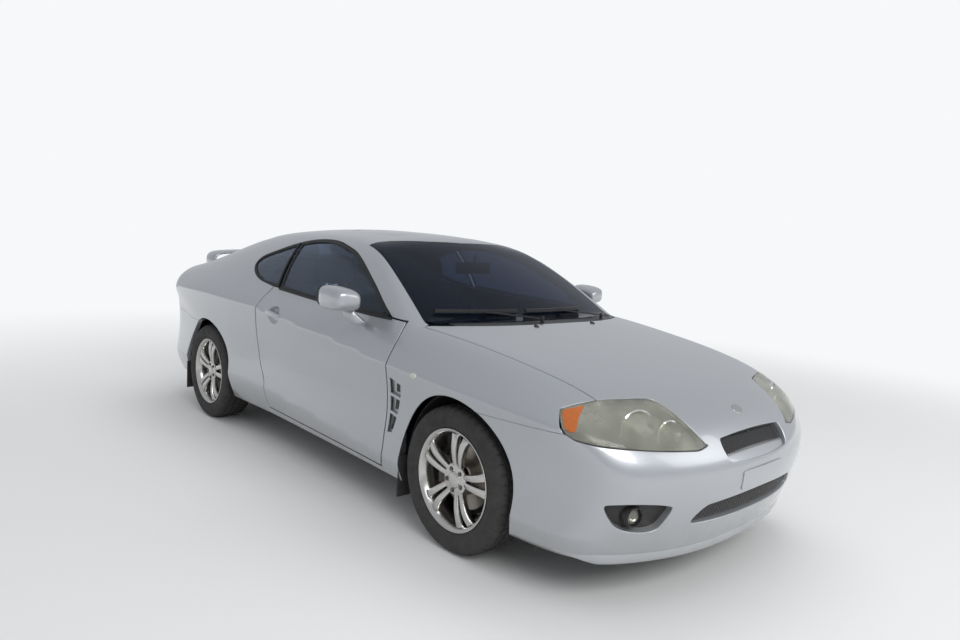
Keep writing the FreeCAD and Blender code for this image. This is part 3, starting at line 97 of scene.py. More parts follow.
# Lower body sections: station x, half width, crease height, belt half width, belt height
STATIONS = [
    (-2200, 790, 760, 700, 960),
    (-1800, 846, 830, 735, 965),
    (-1270, 876, 850, 770, 975),
    (-800, 866, 842, 780, 960),
    (-300, 858, 805, 778, 945),
    (300, 856, 765, 775, 928),
    (800, 862, 720, 762, 915),
    (1260, 872, 700, 735, 870),
    (1700, 850, 680, 690, 800),
    (2100, 780, 640, 600, 700),
]
half_width, crease, belt_width, belt = [Curve([(s[0], s[i]) for s in STATIONS]) for i in (1, 2, 3, 4)]
deck = Curve([(-2200, 955), (-2000, 985), (-1600, 1000), (-1200, 990), (-600, 970), (0, 965), (500, 965),
              (900, 945), (1300, 893), (1700, 825), (1950, 765), (2100, 700), (2160, 640)])
nose = Curve([(150, 2080), (200, 2115), (280, 2150), (400, 2185), (500, 2197.5), (560, 2185), (620, 2150),
              (680, 2100), (740, 2030)])
tail = Curve([(180, -2130), (300, -2170), (500, -2197.5), (650, -2190), (800, -2160), (950, -2120),
              (1000, -2100)])
rail_width = Curve([(-1900, 500), (-1400, 535), (-1000, 565), (-500, 585), (0, 585), (300, 575), (800, 550)])
rail = Curve([(-1900, 1060), (-1400, 1170), (-1000, 1225), (-500, 1265), (0, 1268), (300, 1255), (800, 1220)])
roof = Curve([(-2100, 960), (-1900, 1030), (-1600, 1135), (-1300, 1225), (-1000, 1288), (-700, 1320),
              (-350, 1332), (0, 1325), (300, 1300), (600, 1260)])
edge = Curve([(-2100, 610), (-1600, 578), (-1270, 562), (-950, 552), (-500, 560), (0, 562), (200, 586),
              (500, 640), (800, 695), (900, 712)])
bonnet_edge = Curve([(838, 737), (1049, 720), (1262, 700), (1461, 686), (1642, 671), (1815, 652)])


def join(a, b, k):
    """The larger of two, rounded over k."""
    h = np.maximum(k - np.abs(a - b), 0) / k
    return np.maximum(a, b) + h * h * h * k / 6


def power(value, exponent):
    return np.maximum(value, 0) ** exponent


def lower(x, y, z):
    """Signed distance, about, of the body below the glass: negative inside."""
    w, zc, yb, zb = half_width(x), crease(x), belt_width(x), belt(x)
    skirt = np.clip(345 - x / 16, 290, 370)
    over = w - (w - yb) * power((z - zc) / (zb - zc), 1.25)
    t = (zc - z) / (zc - skirt)
    wall = w - 30 * np.sin(np.pi * t) - 12 * t
    under = w - 12 - 50 * power((skirt - z) / 150, 1.5)
    side = np.where(z > zc, over, np.where(z > skirt, wall, under))
    middle = deck(x)
    top = middle - (middle - zb) * (y / yb) ** 2.2
    f = join(y - side, z - top, 100)
    f = join(f, x - nose(z) + 213 * (y / 800) ** 2.4, 160)
    f = join(f, tail(z) + 200 * (y / 800) ** 2.6 - x, 160)
    return join(f, 190 - z, 30)


def upper(x, y, z):
    """The same for the roof and its pillars."""
    yb, zb, yr, zr = belt_width(x) + 5, belt(x), rail_width(x), rail(x)
    t = (z - zb) / (zr - zb)
    side = yb + (yr - yb) * t + 80 * t * (1 - t)
    f = join((y - side) * 0.9, z - roof(x) + 55 * (y / 580) ** 2.2, 90)
    t = (z - 950) / 335
    screen = 930 - 630 * t + 80 * t * (1 - t) - 135 * (y / 700) ** 2
    f = join(f, (x - screen) * 0.47, 50)
    f = join(f, tail(z) + 200 * (y / 800) ** 2.6 - x, 160)
    return np.maximum(f, 550 - z)


def body(p):
    x, y, z = p[..., 0], np.abs(p[..., 1]), p[..., 2]
    k = np.interp(x, [-1600, -900, -400, 600], [160, 120, 30, 20])
    return -join(-lower(x, y, z), -upper(x, y, z), k)


def cast(origin, ray):
    """Where rays from inside the body meet its outer surface."""
    origin, ray = np.broadcast_arrays(np.asarray(origin, float), np.asarray(ray, float))
    ray = ray / np.linalg.norm(ray, axis=-1, keepdims=True)
    far = np.zeros(origin.shape[:-1])
    for _ in range(50):
        within = body(origin + ray * far[..., None]) < 0
        if not within.any():
            break
        far = far + 50 * within
    near = np.maximum(far - 50, 0)
    for _ in range(14):
        mid = (near + far) / 2
        within = body(origin + ray * mid[..., None]) < 0
        near = np.where(within, mid, near)
        far = np.where(within, far, mid)
    return origin + ray * far[..., None]


def normal(p):
    """Outward unit normals of the body surface."""
    out = np.empty_like(p)
    for i in range(3):
        step = np.zeros(3)
        step[i] = 1.5
        out[..., i] = body(p + step) - body(p - step)
    return out / np.linalg.norm(out, axis=-1, keepdims=True)


def stack(*columns):
    return np.stack(np.broadcast_arrays(*[np.asarray(c, float) for c in columns]), -1)


def solve(value, target, low, high, steps=13):
    """Bisection: where a rising function of one parameter reaches its target."""
    low, high = np.array(low, float), np.array(high, float)
    for _ in range(steps):
        mid = (low + high) / 2
        below = value(mid) < target
        low = np.where(below, mid, low)
        high = np.where(below, high, mid)
    return (low + high) / 2


class SideSkin:
    """The flank, from the sill up its sections to a roof or bonnet edge. u is x, v runs up the section."""

    WAIST, REACH = 750.0, 350.0

    def __init__(self, top, waist):
        self.top, self.waist = top, waist

    def spot(self, uv):
        x, t = uv[:, 0], uv[:, 1] / self.WAIST
        zb = self.waist(x)
        low = cast(stack(x, -400, SILL + (zb - SILL) * np.clip(t, 0, 1)), (0, -1, 0))
        rise = (uv[:, 1] - self.WAIST) / self.REACH
        high = rise > 0
        if high.any():
            xs = x[high]
            waist, last = low[high], cast(stack(xs, -self.top(xs), 600), (0, 0, 1))
            a = np.arctan2(waist[:, 2] - 700, -waist[:, 1] - 300)
            b = np.arctan2(last[:, 2] - 700, -last[:, 1] - 300)
            v = a + (b - a) * rise[high]
            low[high] = cast(stack(xs, -300, 700), stack(0 * v, -np.cos(v), np.sin(v)))
        return low

    def find(self, xz):
        """(x, height) of outline points to (u, v)."""
        x, z = xz[:, 0], xz[:, 1]
        zb = self.waist(x)
        v = np.clip((z - SILL) / (zb - SILL), 0, 1) * self.WAIST
        high = z > zb
        if high.any():
            xs, zs = x[high], z[high]
            rise = solve(lambda r: self.spot(stack(xs, self.WAIST + r * self.REACH))[:, 2], zs,
                         np.full(xs.shape, 1e-4), np.ones(xs.shape))
            v[high] = self.WAIST + rise * self.REACH
        return stack(x, v)


class TopSkin:
    """Roof, windscreen and bonnet, seen from above. u is x, v is y."""

    def __init__(self, start):
        self.start = start

    def spot(self, uv):
        return cast(stack(uv[:, 0], uv[:, 1], self.start), (0, 0, 1))


class BandSkin:
    """A band round an upright axis at x0. u is the turn from an aim, v the height."""

    REACH = 800.0

    def __init__(self, x0, aim):
        self.x0, self.aim = x0, aim

    def spot(self, uv):
        a = uv[:, 0] / self.REACH
        return cast(stack(self.x0, 0, uv[:, 1]), stack(self.aim * np.cos(a), np.sin(a), 0))

    def at_y(self, yz):
        y, z = yz[:, 0], yz[:, 1]
        a = solve(lambda a: np.abs(self.spot(stack(a * self.REACH, z))[:, 1]), np.abs(y),
                  np.zeros(y.shape), np.full(y.shape, 1.25))
        return stack(np.sign(y) * a * self.REACH, z)

    def at_x(self, xz, hand=-1):
        x, z = xz[:, 0], xz[:, 1]
        a = solve(lambda a: -self.aim * self.spot(stack(a * self.REACH, z))[:, 0], -self.aim * x,
                  np.zeros(x.shape), np.full(x.shape, 1.7))
        return stack(hand * a * self.REACH, z)


class FanSkin:
    """A patch seen from a point inside. u is the turn, v the lift, in arc length."""

    REACH = 850.0

    def __init__(self, point):
        self.point = np.array(point, float)

    def spot(self, uv):
        a, b = uv[:, 0] / self.REACH, uv[:, 1] / self.REACH
        return cast(self.point, stack(np.cos(a) * np.cos(b), np.sin(a) * np.cos(b), np.sin(b)))

    def find(self, p):
        d = p - self.point
        a = np.arctan2(d[:, 1], d[:, 0])
        return stack(a, np.arctan2(d[:, 2], np.hypot(d[:, 0], d[:, 1]))) * self.REACH


class TailSkin:
    """Tailgate: u is y, v runs from the roof over the glass and down the tail."""

    STOPS = np.array([(-850, 750, 90), (-1100, 750, 90), (-1350, 750, 90), (-1600, 750, 92), (-1800, 750, 95),
                      (-1900, 760, 115), (-1950, 780, 140), (-1950, 790, 160), (-1950, 720, 178)], float)
    RUN = np.array([0, 255, 515, 785, 1010, 1190, 1290, 1350, 1450], float)

    def spot(self, uv):
        y, v = uv[:, 0], uv[:, 1]
        x, z, lift = [np.interp(v, self.RUN, self.STOPS[:, i]) for i in range(3)]
        b = np.radians(lift)
        return cast(stack(x, y, z), stack(np.cos(b), 0 * b, np.sin(b)))

    def at_x(self, x, y):
        return stack(y, solve(lambda v: -self.spot(stack(y, v))[:, 0], -np.asarray(x, float) + 0 * y,
                              np.zeros(y.shape), np.full(y.shape, 1190.0)))

    def at_z(self, z, y):
        return stack(y, solve(lambda v: -self.spot(stack(y, v))[:, 2], -np.asarray(z, float) + 0 * y,
                              np.full(y.shape, 700.0), np.full(y.shape, 1450.0)))


def runs(points, step):
    """Points along straight runs, no further apart than a step."""
    points = np.array(points, float)
    made = []
    for a, b in zip(points, points[1:]):
        count = max(1, int(math.ceil(np.linalg.norm(b - a) / step)))
        made += [a + (b - a) * i / count for i in range(count)]
    return np.array(made + [points[-1]])


def flowing(points, corners=(), step=12.0, closed=True):
    """A smooth line through points, with a kink only at the numbered corners."""
    p = [np.array(q, float) for q in points]
    n = len(p)
    made = []
    for i in range(n if closed else n - 1):
        a, b = p[i], p[(i + 1) % n]
        before = p[i - 1] if (closed or i > 0) and i not in corners else 2 * a - b
        after = p[(i + 2) % n] if (closed or i < n - 2) and (i + 1) % n not in corners else 2 * b - a
        length = np.linalg.norm(b - a)
        if i in corners:
            before = a - (b - a)
        ta = (b - before) / (np.linalg.norm(a - before) + length) * length
        tb = (after - a) / (np.linalg.norm(after - b) + length) * length
        count = max(2, int(math.ceil(length / step)))
        for k in range(count):
            s = k / count
            made.append((2 * s ** 3 - 3 * s * s + 1) * a + (s ** 3 - 2 * s * s + s) * ta
                        + (3 * s * s - 2 * s ** 3) * b + (s ** 3 - s * s) * tb)
    if not closed:
        made.append(p[-1])
    return np.array(made)


def inside(points, loops):
    """Even-odd test of points against closed loops."""
    odd = np.zeros(len(points), bool)
    for loop in loops:
        a, b = loop, np.roll(loop, -1, 0)
        for (xa, ya), (xb, yb) in zip(a, b):
            if ya == yb:
                continue
            crosses = (points[:, 1] > ya) != (points[:, 1] > yb)
            at = xa + (points[:, 1] - ya) / (yb - ya) * (xb - xa)
            odd ^= crosses & (points[:, 0] < at)
    return odd


def grown(loop, amount):
    """A closed outline moved outwards by an amount."""
    loop = np.asarray(loop, float)
    area = np.sum(loop[:, 0] * np.roll(loop[:, 1], -1) - np.roll(loop[:, 0], -1) * loop[:, 1])
    along = np.roll(loop, -1, 0) - np.roll(loop, 1, 0)
    along /= np.maximum(np.linalg.norm(along, axis=1, keepdims=True), 1e-6)
    return loop + stack(along[:, 1], -along[:, 0]) * (amount if area > 0 else -amount)


def object_of(name, vertices, faces, materials, face_slots=None, normals=None, smooth=True):
    """A new object from metres, with its materials, ready to ride on a body."""
    mesh = bpy.data.meshes.new(name)
    mesh.from_pydata([tuple(v) for v in vertices], [], [tuple(int(i) for i in f) for f in faces])
    for material in materials:
        mesh.materials.append(material)
    if face_slots is not None:
        mesh.polygons.foreach_set("material_index", np.asarray(face_slots, np.int32))
    mesh.polygons.foreach_set("use_smooth", np.full(len(mesh.polygons), smooth))
    if normals is not None:
        mesh.normals_split_custom_set_from_vertices([tuple(v) for v in normals])
    mesh.update()
    made = bpy.data.objects.new(name, mesh)
    bpy.context.collection.objects.link(made)
    return made


def triangles(loops, spacing):
    """Triangles between closed loops in (u, v), and where each loop point went."""
    rim = np.concatenate(loops)
    low, high = loops[0].min(0), loops[0].max(0)
    count = np.maximum(((high - low) / spacing).astype(int), 1)
    gu, gv = np.meshgrid(*[np.linspace(low[i], high[i], count[i] + 1) for i in (0, 1)])
    grid = stack(gu.ravel(), gv.ravel())
    grid = grid[inside(grid, loops)]
    near = np.array([np.min(np.sum((rim - g) ** 2, 1)) for g in grid]) if len(grid) else np.zeros(0)
    grid = grid[near > (0.45 * spacing) ** 2]
    ties, start = [], 0
    for loop in loops:
        n = len(loop)
        ties += [(start + i, start + (i + 1) % n) for i in range(n)]
        start += n
    made = delaunay_2d_cdt([Vector(p) for p in np.concatenate([rim, grid])], ties, [], 0, 1e-4)
    flat = np.array([tuple(v) for v in made[0]])
    faces = np.array(made[2])
    place = {source: out for out, sources in enumerate(made[3]) for source in sources}
    return flat, faces[inside(flat[faces].mean(1), loops)], place


def rim_of(first, count, place, sides):
    """The points of one loop, in the turn in which its edges are sides of triangles."""
    ids = []
    for i in range(first, first + count):
        if not ids or place[i] != ids[-1]:
            ids.append(place[i])
    if ids[0] == ids[-1]:
        ids.pop()
    return np.array(ids if (ids[0], ids[1]) in sides else ids[::-1])


def panel(name, skin, outline, finishes, holes=(), spacing=18.0, depth=6.0, radius=2.0, sink=0.0, inner=None,
          twin=None):
    """A closed panel: the surface inside an outline, rounded edges and an inner face.

    The finishes are those of the outer and the inner face. With a twin's name, both hands are made.
    """
    materials = [finish(word) for word in finishes.split()]
    loops = [np.asarray(loop, float) for loop in (outline, *holes)]
    flat, faces, place = triangles(loops, spacing)
    p = skin.spot(flat)
    n = normal(p)
    p = p - n * sink
    across = np.cross(p[faces[:, 1]] - p[faces[:, 0]], p[faces[:, 2]] - p[faces[:, 0]])
    turned = np.sum(across * n[faces[:, 0]], 1) < 0
    faces[turned] = faces[turned][:, ::-1]
    sides = {side for a, b, c in faces for side in ((a, b), (b, c), (c, a))}
    back = p - n * depth if inner is None else inner(p, n)
    vertices, normals, quads, rims = [p], [n], [], []
    total = len(p)
    start = 0
    half = math.sqrt(0.5)
    for loop in loops:
        ids = rim_of(start, len(loop), place, sides)
        start += len(loop)
        q, m = p[ids], n[ids]
        along = np.roll(q, -1, 0) - np.roll(q, 1, 0)
        out = np.cross(along, m)
        out /= np.maximum(np.linalg.norm(out, axis=1, keepdims=True), 1e-9)
        p[ids] = q - out * radius
        before = ids
        # the rounded edge, the edge's foot and the inner face
        for places, directions in (
                (q - out * radius * (1 - half) - m * radius * (1 - half), (m + out) * half),
                (q - m * radius, out), (back[ids], out)):
            vertices.append(places)
            normals.append(directions)
            now = np.arange(total, total + len(ids))
            total += len(ids)
            for i in range(len(ids)):
                k = (i + 1) % len(ids)
                quads.append((before[k], before[i], now[i], now[k]))
            before = now
        rims.append((ids, before))
    swap = np.arange(len(p)) + total
    vertices.append(back)
    normals.append(-n)
    total += len(p)
    for ids, last in rims:
        swap[ids] = last
    skins = [tuple(f) for f in faces] + quads + [(swap[a], swap[c], swap[b]) for a, b, c in faces]
    slots = [0] * (len(faces) + len(quads)) + [min(1, len(materials) - 1)] * len(faces)
    vertices, normals = np.concatenate(vertices) * MM, np.concatenate(normals)
    used = np.zeros(total, bool)
    used[np.concatenate([np.array(f) for f in skins])] = True
    order = np.cumsum(used) - 1
    skins = [tuple(order[list(f)]) for f in skins]
    vertices, normals = vertices[used], normals[used]
    right = object_of(name, vertices, skins, materials, slots, normals)
    if twin is None:
        return right
    flip = np.array([1, -1, 1])
    left = object_of(twin, vertices * flip, [f[::-1] for f in skins], materials, slots, normals * flip)
    return right, left


def pair(name, bodies, slot, nodes, *shape, **sizes):
    """A right and a left panel set in place; a star in a name stands for right or left."""
    made = panel(name + "_right", *shape, twin=name + "_left", **sizes)
    for obj, hand in zip(made, ("right", "left")):
        set_in(obj, bodies.replace("*", hand), slot, *[n.replace("*", hand) for n in nodes])


def arc_points(centre, radius, first, last, step=12.0):
    """Points of a circle in the side view, from one angle to another, in degrees."""
    count = max(2, int(abs(math.radians(last - first)) * radius / step))
    a = np.radians(np.linspace(first, last, count + 1))
    return stack(centre[0] + radius * np.cos(a), centre[1] + radius * np.sin(a))


def arch_angle(height):
    return math.degrees(math.asin((height - WHEEL_Z) / ARCH))


def both_sides(half):
    """A closed outline from one half, given from middle to middle with y above zero."""
    half = np.asarray(half, float)
    other = half[::-1] * (1, -1)
    return np.concatenate([half, other[np.abs(other[:, 1]) > 0.5]])


DOOR_REAR = [(-420, 250), (-440, 400), (-525, 510), (-556, 690), (-540, 820), (-512, 900), (-470, 961)]
DOOR_FRONT = [(800, 917), (800, 830), (790, 722), (772, 560), (764, 400), (772, 296), (758, 236)]
BELT_LINE = [(706, 921), (477, 924), (0, 939), (-417, 959), (-470, 961)]
WINDOW = [(706, 921), (477, 924), (0, 939), (-417, 959), (-523, 966), (-687, 989), (-798, 1029), (-850, 1078),
          (-821, 1121), (-678, 1170), (-476, 1227), (-298, 1256), (-120, 1259), (10, 1241), (188, 1196),
          (455, 1067), (620, 972)]
LAMP = [(1766, -771, 727), (1793, -724, 742), (1827, -647, 757), (1864, -542, 761), (1905, -425, 755),
        (1930, -400, 749), (1975, -385, 731), (2037, -370, 692), (2101, -346, 638), (2125, -331, 611),
        (2123, -385, 601), (2110, -436, 603), (2056, -579, 612), (1992, -697, 622), (1931, -769, 629),
        (1871, -805, 638), (1832, -816, 655), (1800, -807, 690)]
GRILLE = [(-250, 590), (-225, 545), (225, 545), (250, 590), (235, 626), (-235, 626)]
INTAKE = [(-400, 330), (-300, 318), (300, 318), (400, 330), (330, 392), (-330, 392)]
FOG = [(-740, 421), (-520, 408), (-530, 352), (-560, 316), (-650, 318), (-715, 350)]
SUNROOF = [(130, 0), (115, 250), (85, 340), (-250, 352), (-335, 330), (-345, 0)]
REAR_GLASS = [(-985, 0), (-990, 505), (-1300, 500), (-1640, 505), (-1700, 480), (-1720, 0)]
VENT = [(812, 668), (903, 645), (826, 412), (788, 405)]
HANDLE = (-330, 812)
PANE = [(700, 921), (477, 924), (0, 939), (-404, 958), (-409, 1000), (-436, 1160), (-446, 1232)] + WINDOW[11:]
QUARTER = [(-429, 962), (-523, 966), (-687, 989), (-798, 1029), (-850, 1078), (-821, 1121), (-678, 1170),
           (-476, 1227), (-466, 1180), (-447, 1060)]

flank = SideSkin(lambda x: edge(x) - 14, belt)
wing_skin = SideSkin(lambda x: bonnet_edge(x) - 6, lambda x: crease(x) + 20)
bonnet_skin = TopSkin(520)
roof_skin = TopSkin(800)
screen_skin = TopSkin(700)
nose_skin = BandSkin(1300, 1)
stern_skin = BandSkin(-1350, -1)
lamp_skin = FanSkin((1300, 0, 450))
gate_skin = TailSkin()


def band_outline(rows):
    """A symmetrical outline from its right half, which starts and ends in the middle."""
    half = np.concatenate(rows)
    other = half[::-1] * (-1, 1)
    return np.concatenate([half, other[np.abs(other[:, 0]) > 0.5]])


def door_outline():
    rear = flowing(DOOR_REAR, closed=False)
    top = runs(BELT_LINE[::-1] + [DOOR_FRONT[0]], 14)[1:]
    front = flowing(DOOR_FRONT, closed=False)[1:]
    sill = runs([DOOR_FRONT[-1], (90, 243), DOOR_REAR[0]], 14)[1:-1]
    return np.concatenate([rear, top, front, sill])


def aperture():
    """Door opening and side window in one, as the body side is pressed."""
    sill = runs([(765, 229), (90, 236), (-424, 243)], 14)[:-1]
    rear = [(-424, 243), (-447, 400), (-532, 512), (-563, 690), (-547, 820), (-519, 900), (-480, 962)]
    rear = flowing(rear, closed=False)[:-1]
    window = flowing([(-480, 962)] + WINDOW[4:] + [(700, 928)], (0, 1), closed=False)[:-1]
    foot = runs([(700, 928), (807, 924)], 14)[:-1]
    front = flowing([(807, 924), (807, 830), (797, 722), (779, 560), (771, 400), (779, 296), (765, 229)],
                    closed=False)[:-1]
    return np.concatenate([sill, rear, window, foot, front])


def side_outline():
    low = arch_angle(SILL + 0.5)
    arch = arc_points((WHEEL_X[1], WHEEL_Z), ARCH, low, 180 - arch_angle(640), 12)
    xz = [runs([(764, SILL), arch[0]], 16)[:-1], arch[:-1],
          runs([arch[-1], (-1600, 640), (-1700, 668), (-2075, 668)], 16)]
    xz = flank.find(np.concatenate(xz))
    lamp = runs([(-2075, 668), (-2075, 691), (-1930, 691), (-1925, 760), (-1960, 850), (-2075, 856)], 14)
    lamp = flank.find(lamp[1:])
    top = runs([(-2075, 1100), (885, 1100)], 16)
    low_front = flank.find(runs([(885, 912), (885, 760), (812, 700), (797, 640), (787, 560), (779, 400),
                                 (787, 296), (764, SILL)], 14)[:-1])
    return np.concatenate([xz, lamp, top, low_front])


def inner_wall(p, n):
    """Inner face of the body side: the sill's box below the belt, even pillars above it."""
    q = p - n * 38
    low = np.clip((belt(p[:, 0]) - 30 - p[:, 2]) / 60, 0, 1)[:, None]
    flat = stack(p[:, 0], -np.minimum(712, -p[:, 1] - 40), p[:, 2])
    return q * (1 - low) + flat * low


def inner_door(p, n):
    thin = p - n * 6
    flat = stack(p[:, 0], -np.minimum(716, -p[:, 1] - 30), p[:, 2])
    deep = (p[:, 0] < 672)[:, None]
    return np.where(deep, flat, thin)


def lamp_uv(grow=0.0):
    loop = lamp_skin.find(np.array(LAMP, float))
    loop = flowing(loop, (3, 8, 9, 14), 9.0)
    return grown(loop, grow)


def lamp_line(first, last, grow=0.0):
    """Points of the headlamp's edge on the body surface, between two of its numbered points."""
    loop = np.array(LAMP, float)
    count = (last - first) % len(loop) + 1
    line = flowing([loop[(first + i) % len(loop)] for i in range(count)], closed=False, step=10.0)
    if grow:
        centre = loop.mean(0)
        out = line - centre
        line = line + out / np.linalg.norm(out, axis=1, keepdims=True) * grow
    return line


def wing_outline():
    arch = arc_points((WHEEL_X[0], WHEEL_Z), ARCH, 180 - arch_angle(SILL + 0.5), arch_angle(640), 12)
    rear = flowing([(807, 926), (807, 830), (797, 722), (779, 560), (771, 400), (779, 296), (765, SILL)],
                   closed=False)
    low = [rear, runs([(765, SILL), arch[0]], 14)[1:-1], arch,
           runs([arch[-1], (1735, 650), (1832, 653)], 14)[1:]]
    low = wing_skin.find(np.concatenate(low))
    lamp = lamp_line(0, 2)[:, [0, 2]]
    lamp = np.concatenate([lamp_line(16, 0)[:, [0, 2]][1:], lamp[1:]])
    edge_of_lamp = wing_skin.find(lamp)
    x = np.arange(1822, 815, -14)
    top = stack(x, 1100)
    return np.concatenate([low, edge_of_lamp, top])


def bonnet_outline():
    x = np.arange(885, 1812, 14)
    side = stack(x, bonnet_edge(x) - 7)
    rear = flowing([(1090, 0), (1078, 250), (1035, 450), (950, 640), (885, 728)], closed=False, step=14)[:-1]
    lamp = lamp_line(2, 9, -7)[:, [0, 1]] * (1, -1)
    nose_line = flowing([lamp[-1] + (4, -12), (2112, 250), (2118, 120), (2120, 0)], closed=False, step=14)
    return both_sides(np.concatenate([rear, side, lamp, nose_line]))


def roof_outline():
    front = flowing([(292, 0), (267, 250), (197, 500), (182, edge(182) - 1.5)], closed=False, step=16)[:-1]
    x = np.arange(182, -925, -16)
    return both_sides(np.concatenate([front, stack(x, edge(x) - 1.5),
                                      runs([(-925, edge(-925) - 1.5), (-925, 0)], 16)]))


def screen_outline():
    front = flowing([(1012, 0), (1000, 250), (965, 420), (895, 600), (832, 692)], closed=False, step=16)[:-1]
    x = np.arange(832, 186, -16)
    top = flowing([(186, edge(186) - 2), (198.5, 500), (268.5, 250), (293.5, 0)], closed=False, step=16)
    return both_sides(np.concatenate([front, stack(x, edge(x) - 2), top]))


def gate_outline():
    x = np.arange(-941, -2050, -16.0)
    side = gate_skin.at_x(x, edge(x) - 7)
    y = np.array([592, 565, 540, 520.0])
    turn = gate_skin.at_x(np.array([-2068, -2096, -2125, -2150.0]), y)
    low = gate_skin.at_z(745.0, np.arange(508, -1, -16.0))
    top = gate_skin.at_x(np.full(35, -941.0), np.linspace(0, edge(-941) - 8, 35))
    return band_outline([top[:-1], side, turn, low])


def glass_hole(inset=0.0):
    """The rear window's outline on the tailgate, drawn in by an inset."""
    line = flowing(REAR_GLASS, (0, 5), closed=False, step=16)
    y = np.clip(line[:, 1] - inset, 0, None)
    off = line[:, 0] + 1350
    return band_outline([gate_skin.at_x(line[:, 0] - np.sign(off) * inset * (np.abs(off) > 300), y)])


def front_outline():
    low = nose_skin.at_x(arc_points((WHEEL_X[0], WHEEL_Z), ARCH, -19.6, arch_angle(639), 12))
    start = low[0]
    bottom = runs([(0, 192), (start[0] + 10, 192)], 14)[:-1]
    top = nose_skin.at_x(runs([(1408, 640), (1735, 650), (1832, 653)], 14)[1:])
    line = np.array([LAMP[i] for i in (16, 15, 14, 13, 12, 11, 10, 9)], float)
    line = flowing(line, closed=False, step=10.0)
    turn = np.arctan2(line[:, 1], line[:, 0] - nose_skin.x0) * nose_skin.REACH
    lamp = stack(turn, np.minimum(line[:, 2], 654))
    middle = runs([(lamp[-1][0] + 4, 648), (0, 648)], 14)
    return band_outline([bottom, low, top, lamp[1:], middle])


def rear_outline():
    arch = arc_points((WHEEL_X[1], WHEEL_Z), ARCH, 196, 180 - arch_angle(639), 12)
    low = stern_skin.at_x(arch)
    bottom = runs([(0, 215), (low[0][0] + 10, 215)], 14)[:-1]
    top = stern_skin.at_x(runs([(-1413, 640), (-1600, 640), (-1700, 668), (-2060, 668)], 14)[1:])
    corner = [(-690, 668), (-600, 668), (-520, 668), (-512, 680), (-512, 735)]
    corner = stern_skin.at_y(np.array(corner, float))
    middle = runs([(corner[-1][0] + 6, 738), (0, 738)], 14)
    return band_outline([bottom, low, top, corner, middle])


def on_nose(outline, grow=0.0, hand=1):
    """A smooth opening in the nose, from its (y, height) points."""
    loop = flowing([(hand * y, z) for y, z in outline], (), 10)
    return nose_skin.at_y(grown(loop, grow) if grow else loop)


